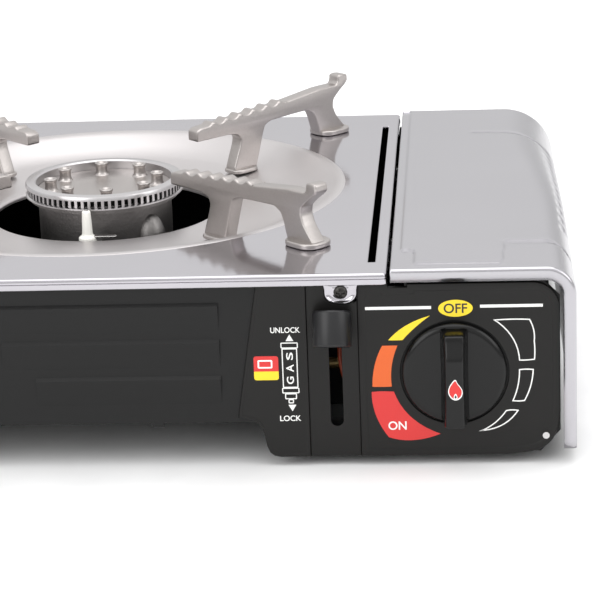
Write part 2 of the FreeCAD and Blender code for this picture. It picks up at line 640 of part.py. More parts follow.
def make_lever():
    """Lock lever: shaft, arm and knob in front, and the crank that draws the claw forwards."""
    tip_y, tip_z = shaft_y - lever_span, lever_z + lever_rise
    arm = Piece("lever_arm")
    arm.pad("YZ", lever_x - 1, 2,
            [(shaft_y, lever_z - 4), (shaft_y, lever_z + 4), (tip_y, tip_z + 3), (tip_y, tip_z - 3)])
    arm.pad("YZ", lever_x - 1.7, 3.4, Circle(shaft_y, lever_z, 5.5))
    arm.pocket("YZ", lever_x - 3, 6, Circle(shaft_y, lever_z, 3))
    arm.done()
    keep(rod("x", lever_x - 9, shaft_y, lever_z, 3, partition_x - lever_x + 8), "lever_shaft")
    lean = math.radians(crank_lean.value)
    upright = FreeCAD.Rotation(Vector(1, 0, 0), -crank_lean.value)
    grip_back, grip_radius, grip_half = 52.6, as_size(8), as_size(7.4)

    def along_arm(distance, rise):
        return (shaft_y - distance * math.cos(lean) + rise * math.sin(lean),
                lever_z + distance * math.sin(lean) + rise * math.cos(lean))

    low_y, low_z = along_arm(grip_back, -grip_half)
    cut_y, cut_z = along_arm(grip_back, -grip_half - 1)
    behind = block(lever_x - 10, lever_x + 11, cut_y, cut_y + 12, cut_z, cut_z + 2 * grip_half + 2)
    behind.Placement = FreeCAD.Placement(Vector(), upright)
    grip = rod("z", lever_x + 0.3, low_y, low_z, grip_radius, 2 * grip_half, upright)
    keep(cut_from(grip, behind), "lever_knob")
    pin_y, pin_z = shaft_y + crank * math.sin(lean), lever_z + crank * math.cos(lean)
    crank_x = partition_x - 3
    side = 3.2
    plate = Piece("lever_crank")
    plate.pad("YZ", crank_x, 2.4, Circle(shaft_y, lever_z, 6))
    plate.pad("YZ", crank_x, 2.4, [(shaft_y - side, lever_z + 2), (shaft_y + side, lever_z), (pin_y + side, pin_z),
                                   (pin_y - side, pin_z + 1)])
    plate.pad("YZ", crank_x, 6.2, Circle(pin_y, pin_z, 1.5))
    plate.pocket("YZ", crank_x - 1, 5, Circle(shaft_y, lever_z, 3))
    plate.done()
    ears = [block(x, x + 1.5, shaft_y - 8, shaft_y + 8, bay_floor + skin, lever_z + 6) for x in (lever_x - 7, lever_x + 11)]
    base = block(lever_x - 7, lever_x + 12.5, shaft_y - 8, shaft_y + 8, bay_floor + skin, bay_floor + skin + 1.5)
    keep(cut_from(joined(base, *ears), rod("x", lever_x - 8, shaft_y, lever_z, 3 + running, 22)), "lever_bracket")
    claw = Piece("canister_claw")
    claw_x = partition_x + 2
    claw.pad("YZ", claw_x, 1.2, rectangle(face + 36, face + 73, 32, 60))
    claw.pad("XZ", face + 71.8, 1.2, rectangle(claw_x, claw_x + 6.5, 36, 46))
    claw.pocket("YZ", claw_x - 1, 4, rectangle(pin_y - 2.4, pin_y + 2.4, pin_z - 3.2, pin_z + 3.6))
    claw.done()


# ---------------------------------------------------------------- small parts

def make_front_fasteners():
    """Cross-head screw in the plate's tab, and the rivet at the panel's lower corner."""
    x, z = lever_x + 4, plate_top - lip_drop - 3
    head = joined(rod("y", x, face - 2.3, z, 2.6, 1.8), rod("y", x, face - 2.3, z, 1.5, 8))
    slots = [block(x - 0.35, x + 0.35, face - 2.4, face - 1.5, z - 1.6, z + 1.6),
             block(x - 1.6, x + 1.6, face - 2.4, face - 1.5, z - 0.35, z + 0.35)]
    keep(cut_from(head, *slots), "tab_screw")
    keep(joined(rod("y", 157.6, face - 0.5, 12.2, 1.4, 0.5), rod("y", 157.6, face - 0.1, 12.2, 0.95, 1.6)),
         "panel_rivet")


def tube_along(points, radius, bend_share=0.45):
    """A tube of straight runs joined by tangent arcs, each as large as its two runs allow."""
    points = [Vector(*point) for point in points]
    edges, start = [], points[0]
    for before, corner, after in zip(points, points[1:], points[2:]):
        into, out = (corner - before), (after - corner)
        trim = bend_share * min(into.Length, out.Length)
        into.normalize()
        out.normalize()
        half_turn = math.acos(max(-1, min(1, into.dot(out)))) / 2
        bend = trim / math.tan(half_turn)
        first, last = corner - into * trim, corner + out * trim
        inward = (out - into).normalize()
        middle = corner + inward * (bend / math.cos(half_turn) - bend)
        print("lead bend radius %.1f" % bend)
        edges += [Part.LineSegment(start, first).toShape(), Part.Arc(first, middle, last).toShape()]
        start = last
    edges.append(Part.LineSegment(start, points[-1]).toShape())
    path = Part.Wire(edges)
    circle = Part.Circle(points[0], points[1] - points[0], radius).toShape()
    tube = path.makePipeShell([Part.Wire([circle])], True, False)
    print("lead volume %.1f, section times length %.1f" % (tube.Volume, math.pi * radius ** 2 * path.Length))
    return tube


def make_ignition_lead():
    """Spark lead from the igniter, past the lever slot, over the lever's shaft and under the burner."""
    x, y = (burner_x - 2.7).value, (burner_y - 41.4).value
    front = face.value
    side = lever_x.value + 2.6
    route = [(knob_x.value - 13.2, front + 7.5, 18), (knob_x.value - 24, front + 7.5, 18), (side + 6, front + 9, 24),
             (side, front + 10, 38), (side - 0.4, front + 12, 52), (side + 3, front + 22, 64), (side + 4, front + 42, 66),
             (side - 2, front + 62, 60), (62, front + 72, 46), (50, front + 82, 32), (29, front + 88, 26),
             (4, front + 91, 25), (x + 20, y - 3, 26), (x + 3, y - 1, 33), (x, y, 46), (x, y, 60)]
    lead = doc.addObject("Part::Feature", "ignition_lead")
    lead.Shape = tube_along(route, 1.0)
    keep(lead, "ignition_lead")


for make in (make_body_shell, make_top_plate, make_control_panel, make_drip_bowl, make_lid, make_hinge,
             make_partition, make_cradle, make_feet, make_burner_body, make_burner_ring, make_burner_crown,
             make_burner_bracket, make_electrode, make_arms, make_arm_screws, make_valve, make_gas_line, make_knob,
             make_igniter, make_lever, make_front_fasteners, make_ignition_lead):
    make()
doc.recompute()

for item in doc.Objects:
    if "Invalid" in item.State or "Error" in item.State:
        raise SystemExit("%s did not build: %s" % (item.Label, item.State))
os.makedirs("parts", exist_ok=True)
for item in made:
    shape = item.Shape
    if shape.isNull() or not shape.isValid() or shape.Volume <= 0:
        raise SystemExit("%s has no valid solid" % item.Label)
    shape.exportStep("parts/%s.step" % item.Label)
    box = shape.BoundBox
    print("%-22s x %.1f..%.1f  y %.1f..%.1f  z %.1f..%.1f  %d solids" % (
        item.Label, box.XMin, box.XMax, box.YMin, box.YMax, box.ZMin, box.ZMax, len(shape.Solids)))
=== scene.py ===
# %% [markdown]
# A camping stove in pressed steel
#
# The stove is a low tray of black painted steel under a polished burner plate, with a brushed lid
# over the gas canister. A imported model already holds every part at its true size. This lesson
# dresses that model: it keeps the parts whose shape is right and makes finer surfaces for the
# parts that catch the eye, each inside the box of the part that it stands for.

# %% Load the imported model
import json
import math

import bmesh
import bpy
import numpy as np
from mathutils import Matrix, Vector
from mathutils.geometry import tessellate_polygon


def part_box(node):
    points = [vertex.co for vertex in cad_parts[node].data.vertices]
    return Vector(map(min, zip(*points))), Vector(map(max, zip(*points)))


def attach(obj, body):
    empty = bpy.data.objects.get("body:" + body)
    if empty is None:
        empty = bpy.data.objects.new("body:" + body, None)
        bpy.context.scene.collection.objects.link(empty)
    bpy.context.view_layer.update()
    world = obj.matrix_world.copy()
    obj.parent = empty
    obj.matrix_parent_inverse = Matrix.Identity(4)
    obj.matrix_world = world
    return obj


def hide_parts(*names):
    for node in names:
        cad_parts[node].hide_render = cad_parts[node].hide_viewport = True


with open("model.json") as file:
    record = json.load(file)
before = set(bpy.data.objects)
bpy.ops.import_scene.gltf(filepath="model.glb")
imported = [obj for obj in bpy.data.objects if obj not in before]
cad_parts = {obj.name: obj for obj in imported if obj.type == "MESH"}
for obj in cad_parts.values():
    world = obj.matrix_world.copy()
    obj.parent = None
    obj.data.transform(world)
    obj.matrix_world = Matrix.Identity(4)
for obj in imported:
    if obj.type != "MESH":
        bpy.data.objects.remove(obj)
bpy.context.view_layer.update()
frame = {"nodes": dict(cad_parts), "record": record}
record = frame["record"]
METRES = 0.001


def box(node):
    """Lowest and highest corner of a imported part, in millimetres."""
    return np.array(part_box(node), float).reshape(2, 3) / METRES


# %% [markdown]
# The camera
#
# A camera could be aimed by hand, or set from three angles. Three angles are easier to repeat:
# it stands in front and a little right of the stove, looks slightly left and down, and its
# horizon is tilted by two degrees. A long lens keeps the plate's edges nearly parallel.

# %% Camera
yaw, pitch, roll = (math.radians(angle) for angle in (-3.897, 17.434, -2.14))
ahead = np.array([math.sin(yaw) * math.cos(pitch), math.cos(yaw) * math.cos(pitch), -math.sin(pitch)])
level = np.array([math.cos(yaw), -math.sin(yaw), 0])
upward = np.cross(level, ahead)
across = level * math.cos(roll) + upward * math.sin(roll)
upright = upward * math.cos(roll) - level * math.sin(roll)
camera = bpy.data.objects.new("camera", bpy.data.cameras.new("camera"))
camera.data.lens, camera.data.sensor_width = 155.562, 36
camera.matrix_world = Matrix([[*row, place] for row, place in zip(
    np.stack([across, upright, -ahead]).T.tolist(), (0.12717, -1.11589, 0.38199))] + [[0, 0, 0, 1]])
bpy.context.collection.objects.link(camera)
bpy.context.scene.camera = camera
bpy.context.scene.view_settings.view_transform = "Standard"
print("camera looks along", ahead.round(3))

# %% [markdown]
# Light
#
# Polished steel shows what stands round it, so the light is chosen for its reflections: a pale
# room for the even tone of the plate, one large soft light overhead and a little behind for the
# bright edges, and a weaker one from the front left that picks out the castings.

# %% Floor, room and lights
world = bpy.data.worlds.new("room")
bpy.context.scene.world = world
world.use_nodes = True
sky = world.node_tree.nodes.new("ShaderNodeTexCoord")
height = world.node_tree.nodes.new("ShaderNodeSeparateXYZ")
haze = world.node_tree.nodes.new("ShaderNodeMapRange")
for socket, value in (("From Min", 0.16), ("From Max", 0.32), ("To Min", 0.72), ("To Max", 1.06)):
    haze.inputs[socket].default_value = value
world.node_tree.links.new(sky.outputs["Generated"], height.inputs[0])
world.node_tree.links.new(height.outputs["Z"], haze.inputs["Value"])
world.node_tree.links.new(haze.outputs[0], world.node_tree.nodes["Background"].inputs["Strength"])
world.node_tree.nodes["Background"].inputs["Color"].default_value = (1, 1, 1, 1)


def soft_light(name, place, target, size, watts):
    """A square light of the given size in metres at place, facing target."""
    lamp = bpy.data.objects.new(name, bpy.data.lights.new(name, "AREA"))
    lamp.data.size, lamp.data.energy = size, watts
    lamp.location = place
    lamp.rotation_euler = (Vector(target) - Vector(place)).to_track_quat("-Z", "Y").to_euler()
    bpy.context.collection.objects.link(lamp)


soft_light("overhead", (0.1, -0.1, 1.5), (0, 0, 0.05), 1.6, 12)
soft_light("front_left", (-1.1, -1.3, 0.9), (0, 0, 0.05), 1.2, 9)
soft_light("right", (1.4, -0.5, 0.9), (0.1, 0, 0.05), 1.0, 5)

floor_mesh = bpy.data.meshes.new("floor")
floor_mesh.from_pydata([(-9, -9, 0), (9, -9, 0), (9, 9, 0), (-9, 9, 0)], [], [(0, 1, 2, 3)])
floor = bpy.data.objects.new("floor", floor_mesh)
bpy.context.collection.objects.link(floor)

# %% [markdown]
# Shader maths as plain sums
#
# A finish is a small network of nodes. Wiring it by hand takes many lines, so one class wraps an
# output socket and lets Python's own signs add the Math nodes. Everything else, from noise to
# bump, goes through one method that takes a node's type, its settings and its sockets.

# %% Signals and finishes
class Signal:
    """An output socket that can be added, subtracted and multiplied."""

    def __init__(self, net, socket):
        self.net, self.socket = net, socket

    def maths(self, operation, first, second):
        return self.net.add("ShaderNodeMath", {"operation": operation}, {0: first, 1: second})

    def __add__(self, other):
        return self.maths("ADD", self, other)

    def __radd__(self, other):
        return self.maths("ADD", other, self)

    def __sub__(self, other):
        return self.maths("SUBTRACT", self, other)

    def __rsub__(self, other):
        return self.maths("SUBTRACT", other, self)

    def __mul__(self, other):
        return self.maths("MULTIPLY", self, other)

    def __rmul__(self, other):
        return self.maths("MULTIPLY", other, self)


class Net:
    """The node tree of one finish."""

    def __init__(self, tree):
        self.tree = tree

    def add(self, kind, settings=None, sockets=None, output=0):
        """Adds a node, sets its settings, then its socket values or links, and hands back an output."""
        node = self.tree.nodes.new(kind)
        for key, value in (settings or {}).items():
            setattr(node, key, value)
        for key, value in (sockets or {}).items():
            if isinstance(value, Signal):
                self.tree.links.new(value.socket, node.inputs[key])
            else:
                node.inputs[key].default_value = value
        return Signal(self, node.outputs[output])

    def place(self, stretch=(1, 1, 1), shift=(0, 0, 0)):
        """Object coordinates, moved and then stretched for a pattern."""
        return self.add("ShaderNodeMapping", {}, {
            "Vector": self.add("ShaderNodeTexCoord", output="Object"), "Scale": stretch, "Location": shift})

    def noise(self, vector, scale, detail=3.0):
        """Smooth noise from 0 to 1."""
        return self.add("ShaderNodeTexNoise", {}, {"Vector": vector, "Scale": scale, "Detail": detail})

    def spread(self, signal, low, high):
        """Stretches low to high over 0 to 1, smoothly, and holds the ends."""
        return self.add("ShaderNodeMapRange", {"interpolation_type": "SMOOTHSTEP"},
                        {"Value": signal, "From Min": low, "From Max": high})

    def blend(self, share, first, second):
        """Goes from the first colour to the second as share goes from 0 to 1."""
        return self.add("ShaderNodeMix", {"data_type": "RGBA"},
                        {"Factor": share, 6: tint(first), 7: tint(second)}, output=2)

    def bump(self, height, distance):
        """Turns a height from 0 to 1 into a bent normal, distance in metres."""
        return self.add("ShaderNodeBump", {}, {"Height": height, "Distance": distance})


def tint(colour):
    """A plain colour with its alpha, or a signal as it is."""
    return colour if isinstance(colour, Signal) else (*colour, 1)


finishes = {}


def finish(name, recipe, **fixed):
    """Keeps a material whose recipe hands back the varying sockets; fixed ones are set on the shader."""
    material = bpy.data.materials.new(name)
    material.use_nodes = True
    shader = material.node_tree.nodes["Principled BSDF"]
    for key, value in fixed.items():
        shader.inputs[key.replace("_", " ")].default_value = value
    for key, value in recipe(Net(material.node_tree)).items():
        material.node_tree.links.new(value.socket, shader.inputs[key])
    finishes[name] = material


def shade(colour, factor):
    """The colour made darker or lighter by a factor, never past white."""
    return tuple(min(1.0, part * factor) for part in colour)


print("shader helpers ready")

# %% [markdown]
# Bright metals
#
# Rolled steel has fine lines along the rolling direction and faint clouds where hands have wiped
# it. Noise stretched along one axis gives the lines, and slow noise gives the clouds. The lines
# are shallow, so they widen the reflections instead of looking like scratches.

# %% Steel finishes
def rolled_steel(name, colour, roughness, stretch, depth, cloud=0.05):
    """Steel with fine lines along the axis that stretch leaves small."""
    def recipe(net):
        lines = net.noise(net.place(stretch), 1.0, 4.0)
        clouds = net.noise(net.place(), 14.0, 2.0)
        return {"Base Color": net.blend(clouds * 0.7 + lines * 0.3, shade(colour, 0.93), shade(colour, 1.05)),
                "Roughness": roughness + (lines - 0.5) * 0.12 + (clouds - 0.5) * cloud,
                "Normal": net.bump(lines, depth)}
    finish(name, recipe, Metallic=1.0)


def turned_steel(name, colour, roughness, centre, depth):
    """Steel spun on a lathe: fine rings round a centre given in metres."""
    def recipe(net):
        flat = net.place((1, 1, 0), (-centre[0], -centre[1], 0))
        radius = net.add("ShaderNodeVectorMath", {"operation": "LENGTH"}, {0: flat}, output="Value")
        along = net.add("ShaderNodeCombineXYZ", {}, {"X": radius})
        rings = net.noise(along, 2600.0, 3.0)
        clouds = net.noise(net.place(), 16.0, 2.0)
        return {"Base Color": net.blend(clouds, shade(colour, 0.94), shade(colour, 1.04)),
                "Roughness": roughness + (rings - 0.5) * 0.14 + (clouds - 0.5) * 0.05,
                "Normal": net.bump(rings, depth)}
    finish(name, recipe, Metallic=1.0)


def cast_metal(name, colour, roughness, grain, depth):
    """Cast metal: a fine pitted skin with darker hollows and slightly worn high spots."""
    def recipe(net):
        pits = net.noise(net.place(), grain, 4.0)
        clouds = net.noise(net.place(), 40.0, 2.0)
        return {"Base Color": net.blend(pits * 0.6 + clouds * 0.4, shade(colour, 0.86), shade(colour, 1.1)),
                "Roughness": roughness + (clouds - 0.5) * 0.12,
                "Normal": net.bump(net.spread(pits, 0.3, 0.7), depth)}
    finish(name, recipe, Metallic=1.0)


burner_low, burner_high = box("burner_ring")
burner_xy = (burner_low + burner_high)[:2] / 2
burner_metres = tuple(burner_xy * METRES)
rolled_steel("polished_steel", (0.5, 0.485, 0.515), 0.1, (30, 700, 700), 0.0000002)
rolled_steel("brushed_steel", (0.485, 0.475, 0.5), 0.22, (700, 24, 700), 0.0000004)
turned_steel("bowl_steel", (0.6, 0.575, 0.575), 0.38, burner_metres, 0.0000006)
rolled_steel("zinc_steel", (0.42, 0.43, 0.44), 0.36, (200, 200, 200), 0.000004, 0.16)
rolled_steel("bright_steel", (0.6, 0.59, 0.58), 0.2, (700, 40, 700), 0.0000006)
cast_metal("cast_aluminium", (0.22, 0.21, 0.205), 0.44, 900.0, 0.00004)
turned_steel("machined_aluminium", (0.66, 0.65, 0.65), 0.26, burner_metres, 0.000001)
cast_metal("zinc_casting", (0.45, 0.45, 0.46), 0.4, 700.0, 0.00008)
cast_metal("arm_casting", (0.46, 0.43, 0.415), 0.34, 1100.0, 0.000016)
turned_steel("brass", (0.7, 0.52, 0.24), 0.28, burner_metres, 0.000003)
print("metals", sorted(finishes))

# %% [markdown]
# Paint, plastic, rubber and ceramic
#
# Sprayed paint dries with a faint dimpled skin, moulded plastic keeps the spark texture of its
# mould, and a glaze is almost flat. One recipe covers them: a noise of the right size bends the
# normal, and slower noise moves the colour and the gloss by a few percent.

# %% Coated and moulded finishes
def coating(name, colour, roughness, grain, depth, drift=0.05, **fixed):
    """A coat or moulded skin with dimples of one size and a slow drift of gloss and colour."""
    def recipe(net):
        dimples = net.noise(net.place(), grain, 2.0)
        slow = net.noise(net.place(), 22.0, 3.0)
        return {"Base Color": net.blend(slow, shade(colour, 0.88), shade(colour, 1.12)),
                "Roughness": roughness + (slow - 0.5) * drift,
                "Normal": net.bump(dimples, depth)}
    finish(name, recipe, **fixed)


coating("black_paint", (0.006, 0.006, 0.006), 0.42, 900.0, 0.00001, Specular_IOR_Level=0.3)
coating("panel_black", (0.008, 0.0075, 0.007), 0.4, 1300.0, 0.00001, Specular_IOR_Level=0.28)
coating("gloss_black", (0.004, 0.004, 0.004), 0.2, 300.0, 0.000002, Specular_IOR_Level=0.32)
coating("dark_plastic", (0.012, 0.012, 0.013), 0.34, 1600.0, 0.00001, Specular_IOR_Level=0.4)
coating("dark_screw", (0.05, 0.048, 0.045), 0.3, 700.0, 0.00002, Metallic=0.8)
coating("black_rubber", (0.02, 0.02, 0.02), 0.7, 1500.0, 0.00004)
coating("white_ceramic", (0.86, 0.85, 0.8), 0.18, 500.0, 0.00001)
coating("white_plastic", (0.8, 0.8, 0.76), 0.4, 900.0, 0.00002)
coating("red_lead", (0.32, 0.05, 0.02), 0.45, 700.0, 0.00002)
inks = {"white": (0.86, 0.86, 0.84), "yellow": (0.9, 0.66, 0.02), "orange": (0.72, 0.12, 0.015),
        "red": (0.66, 0.03, 0.028), "dark": (0.02, 0.02, 0.02)}
for name, colour in inks.items():
    coating("print_" + name, colour, 0.4, 1500.0, 0.000004)
coating("floor", (0.93, 0.93, 0.93), 0.7, 60.0, 0.00001)
floor.data.materials.append(finishes["floor"])

slot_of = {part["node"]: part["material_slot"] for part in record["subparts"]}
for node, thing in frame["nodes"].items():
    thing.data.materials.clear()
    thing.data.materials.append(finishes[slot_of[node]])
print("finishes", len(finishes))

# %% [markdown]
# Turning arrays into pieces
#
# Each surface below is a grid of points from a formula. One helper joins the grids of a piece,
# merges the points that meet, turns the faces outwards, marks true edges sharp and hands the
# piece to its moving body. A second helper lays flat sheets with holes: it follows each edge
# with a small profile and fills the rest with triangles.

# %% Grid and sheet helpers
def grid_faces(rows, columns):
    """Corner numbers of the quads of a grid of points."""
    corner = np.arange(rows * columns).reshape(rows, columns)
    return np.stack([corner[:-1, :-1], corner[:-1, 1:], corner[1:, 1:], corner[1:, :-1]], -1).reshape(-1, 4)


def make_piece(name, surfaces, body, material, nodes=(), sharp=32, wall=0.0, outward=None, slot=None):
    """Joins surfaces, each a grid of points or a pair of points and faces, in millimetres."""
    points, faces, count = [], [], 0
    for surface in surfaces:
        if not isinstance(surface, tuple):
            surface = (surface.reshape(-1, 3), grid_faces(*surface.shape[:2]))
        points.append(surface[0])
        faces += (np.asarray(surface[1]) + count).tolist()
        count += len(surface[0])
    mesh = bpy.data.meshes.new(name)
    mesh.from_pydata((np.concatenate(points) * METRES).tolist(), [], faces)
    work = bmesh.new()
    work.from_mesh(mesh)
    bmesh.ops.remove_doubles(work, verts=work.verts, dist=0.000004)
    bmesh.ops.dissolve_degenerate(work, edges=work.edges, dist=0.0000005)
    bmesh.ops.recalc_face_normals(work, faces=work.faces)
    if outward is not None:
        facing = sum((face.normal * face.calc_area() for face in work.faces), Vector())
        if facing.dot(Vector(outward)) < 0:
            bmesh.ops.reverse_faces(work, faces=work.faces)
    work.to_mesh(mesh)
    work.free()
    mesh.shade_smooth()
    mesh.set_sharp_from_angle(angle=math.radians(sharp))
    mesh.materials.append(finishes[material])
    piece = bpy.data.objects.new(name, mesh)
    bpy.context.collection.objects.link(piece)
    if wall:
        solid = piece.modifiers.new("wall", "SOLIDIFY")
        solid.thickness, solid.offset = wall * METRES, -1
    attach(piece, body)
    if nodes:
        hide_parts(*nodes)
    if slot or material in {part["slot"] for part in record["materials"]}:
        slot or material
    low, high = mesh_box(mesh)
    print(f"{name}: {len(mesh.polygons)} faces, {low.round(1)} to {high.round(1)} mm")
    return piece


def mesh_box(mesh):
    """Lowest and highest corner of a mesh in millimetres."""
    spots = np.empty(len(mesh.vertices) * 3)
    mesh.vertices.foreach_get("co", spots)
    spots = spots.reshape(-1, 3) / METRES
    return spots.min(0), spots.max(0)


def turned(profile, centre, steps=144):
    """Revolves (radius, height) points about a vertical axis: x = r cos t, y = r sin t."""
    profile = np.asarray(profile, float)
    turn = np.linspace(0, 2 * np.pi, steps + 1)
    radius, height = profile[:, :1], profile[:, 1:]
    return np.stack([centre[0] + radius * np.cos(turn), centre[1] + radius * np.sin(turn),
                     np.broadcast_to(height, (len(profile), steps + 1))], -1)


def softened(points, rounds=2, closed=False):
    """Cuts each corner at a quarter and three quarters of its runs, several times over."""
    points = np.asarray(points, float)
    for _ in range(rounds):
        after = np.roll(points, -1, 0) if closed else points[1:]
        before = points if closed else points[:-1]
        cut = np.stack([0.75 * before + 0.25 * after, 0.25 * before + 0.75 * after], 1).reshape(-1, 2)
        points = cut if closed else np.concatenate([points[:1], cut, points[-1:]])
    return points


def circle(centre, radius, steps=96):
    """Points of a closed circle: centre + r (cos t, sin t)."""
    turn = np.arange(steps) * 2 * np.pi / steps
    return np.stack([centre[0] + radius * np.cos(turn), centre[1] + radius * np.sin(turn)], -1)


def rounded_box(x0, x1, y0, y1, radii, steps=8):
    """A rectangle whose corners, from the lower left anticlockwise, have the given radii."""
    corners = ((x0, y0, 1, 1, np.pi), (x1, y0, -1, 1, 1.5 * np.pi),
               (x1, y1, -1, -1, 0), (x0, y1, 1, -1, 0.5 * np.pi))
    arcs = []
    for (x, y, right, up, start), radius in zip(corners, radii):
        turn = start + np.linspace(0, np.pi / 2, steps)
        arcs.append(np.stack([x + radius * (right + np.cos(turn)), y + radius * (up + np.sin(turn))], -1))
    return np.concatenate(arcs)


def offset(loop, distance):
    """Moves a closed loop to its left: each point goes along the mean of its two edges' normals."""
    edge = np.roll(loop, -1, 0) - loop
    edge = edge / np.maximum(np.linalg.norm(edge, axis=1, keepdims=True), 1e-9)
    normal = np.stack([-edge[:, 1], edge[:, 0]], -1)
    before = np.roll(normal, 1, 0)
    reach = np.maximum(1 + (normal * before).sum(1, keepdims=True), 0.35)
    return loop + distance * (normal + before) / reach


def wound(loop, inwards_left):
    """The loop in the direction that has its material on the left."""
    x, y = loop.T
    area = (x * np.roll(y, -1) - y * np.roll(x, -1)).sum()
    return loop if (area > 0) == inwards_left else loop[::-1]


def smooth(value, low, high):
    """0 below low, 1 above high, and an even S between."""
    share = np.clip((value - low) / (high - low), 0, 1)
    return share * share * (3 - 2 * share)


def flat_to_top(spots, height):
    """Lays (x, y) points level at a height."""
    return np.concatenate([spots, np.full((len(spots), 1), height)], 1)


def flat_to_front(spots, height):
    """Stands (x, z) points upright, a distance in front of the middle of the stove."""
    return np.stack([spots[:, 0], np.full(len(spots), -height), spots[:, 1]], -1)


def sheet_with_edges(loops, profiles, place):
    """A flat sheet bounded by loops, the first outside and the rest holes.

    A profile lists (inset, height) from the back of the sheet, round the edge, to its face."""
    surfaces, ends = [], ([], [])
    for index, (loop, profile) in enumerate(zip(loops, profiles)):
        loop = wound(np.asarray(loop, float), index == 0)
        rows = [place(offset(loop, inset), height) for inset, height in profile]
        surfaces.append(np.stack([np.concatenate([row, row[:1]]) for row in rows]))
        ends[0].append(rows[0])
        ends[1].append(rows[-1])
    for rings in ends:
        triangles = tessellate_polygon([[Vector(spot) for spot in ring] for ring in rings])
        surfaces.append((np.concatenate(rings), np.array(triangles)))
    return surfaces


def edge_round(face_height, back_height, radius, steps=4, flat=0.35):
    """Profile of a plain sheet: a square back edge, a straight side and a rounded front edge."""
    turn = np.linspace(0, np.pi / 2, steps)
    arc = np.stack([radius * (1 - np.cos(turn)), face_height - radius * (1 - np.sin(turn))], -1)
    return [(flat, back_height), (0, back_height), *arc.tolist(), (radius + flat, face_height)]


print("helpers ready")

# %% [markdown]
# The burner plate
#
# The plate is one pressed sheet: flat, mirror-like, with a round opening for the bowl, a long
# vent slot by the canister bay and a lip folded down on every side. A cube with cut-outs would
# leave knife edges, and it is the soft fold that shows as a bright line, so the sheet is filled
# between its edges and each edge follows its own small profile.

# %% Plate with folded lip
plate_low, plate_high = box("top_plate")
lid_low, lid_high = box("canister_lid")
panel_low, panel_high = box("control_panel")
bowl_low, bowl_high = box("drip_bowl")
plate_top = plate_high[2]
lip_low = panel_high[2] + 0.2
bowl_rim = (bowl_high[0] - bowl_low[0]) / 2
face = panel_low[1]

outer = rounded_box(plate_low[0], plate_high[0] - 0.1, plate_low[1], plate_high[1], (5, 2.5, 2.5, 5))
fold = np.linspace(0, np.pi / 2, 7)
fold_radius = 1.5
lip = [(2.3, plate_top - 1), (1.7, plate_top - 1), (1.0, plate_top - 1.8), (1.0, lip_low), (0.15, lip_low),
       (0, lip_low + 0.2)]
lip += [(0, plate_top - 2.5), (0.3, plate_top - 2.3), (0, plate_top - 2.1)]
lip += [(fold_radius * (1 - math.cos(turn)), plate_top - fold_radius * (1 - math.sin(turn))) for turn in fold]
lip.append((fold_radius + 0.4, plate_top))
opening = circle(burner_xy, bowl_rim - 4.6, 160)
slot_left = plate_high[0] - 8.3
vent = rounded_box(slot_left, slot_left + 2.9, face + 15, face + 246, (0.3,) * 4, 3)
cut_edge = edge_round(plate_top, plate_top - 1, 0.3, 3)
plate_surfaces = sheet_with_edges([outer, opening, vent], [lip, cut_edge, cut_edge], flat_to_top)
print("plate sheet", len(plate_surfaces), "surfaces,", len(lip), "rows round the lip")

# %% [markdown]
# The screw tab
#
# At the lever the lip runs on downwards as a small tab, which a cross-head screw ties to the
# front wall. A flat tab would mirror one even tone. The real one is dished round its screw and
# round at its foot, so rings between the screw hole and the outline are pushed back by a sine.

# %% Tab on the front lip
screw_low, screw_high = box("tab_screw")
screw_x, screw_z = ((screw_low + screw_high) / 2)[[0, 2]]
tab_foot = plate_low[2]
tab_half = 6.3
turn = np.linspace(0, 2 * np.pi, 97)
reach_x, reach_z = np.cos(turn), np.sin(turn)
tab_rise = lip_low + 0.9 - screw_z
tab_flare, hole_radius = 1.1, 1.7
square = 1 / np.maximum(np.abs(reach_x) / (tab_half + tab_flare), np.maximum(reach_z, 0.001) / tab_rise)
foot_x = tab_half * np.sign(reach_x) * np.abs(reach_x) ** 0.8
widest = tab_half + tab_flare * smooth(reach_z, 0.1, 0.8)
edge_x = screw_x + np.clip(np.where(reach_z < 0, foot_x, reach_x * square), -widest, widest)
edge_z = screw_z + np.where(reach_z < 0, (screw_z - tab_foot) * reach_z, reach_z * square)
share = np.linspace(0, 1, 12)[:, None]
tab_x = (screw_x + hole_radius * reach_x) * (1 - share) + edge_x * share
tab_z = (screw_z + hole_radius * reach_z) * (1 - share) + edge_z * share
dish = 0.95 * np.sin(np.clip(share * 1.12, 0, 1) * np.pi) ** 0.8
tab_face = np.stack([tab_x, face - 1.25 + dish + 0 * tab_x, tab_z], -1)
tab_back = tab_face[-1] + (0, 0.9, 0)
plate_surfaces += [tab_face, np.stack([tab_face[-1], tab_back])]
make_piece("burner_plate", plate_surfaces, "stove", "polished_steel", ["top_plate"])

# %% [markdown]
# The tab's screw
#
# The screw is a dome with a cross driven into it. The dome is a ring grid whose height is a
# quarter circle of the radius, and the cross is cut where a point lies close to either axis.

# %% Cross-head screw
dome_turn, dome_share = np.meshgrid(np.linspace(0, 2 * np.pi, 121), np.linspace(0.001, 1, 34))
head_radius, head_depth = (screw_high[0] - screw_low[0]) / 2 + 0.25, 1.7
head_x, head_z = dome_share * head_radius * np.cos(dome_turn), dome_share * head_radius * np.sin(dome_turn)
dome = head_depth * np.sqrt(np.clip(1 - dome_share ** 2.6, 0, 1))
cross = [(1 - smooth(np.abs(aside), 0.32, 0.5)) * (1 - smooth(np.abs(out), 1.5, 1.8))
         for aside, out in ((head_x, head_z), (head_z, head_x))]
dome -= 0.9 * np.maximum(*cross)
head = np.stack([screw_x + head_x, face - 0.35 - dome, screw_z + head_z], -1)
make_piece("cross_screw", [head], "stove", "dark_screw", ["tab_screw"], sharp=60, outward=(0, -1, 0))

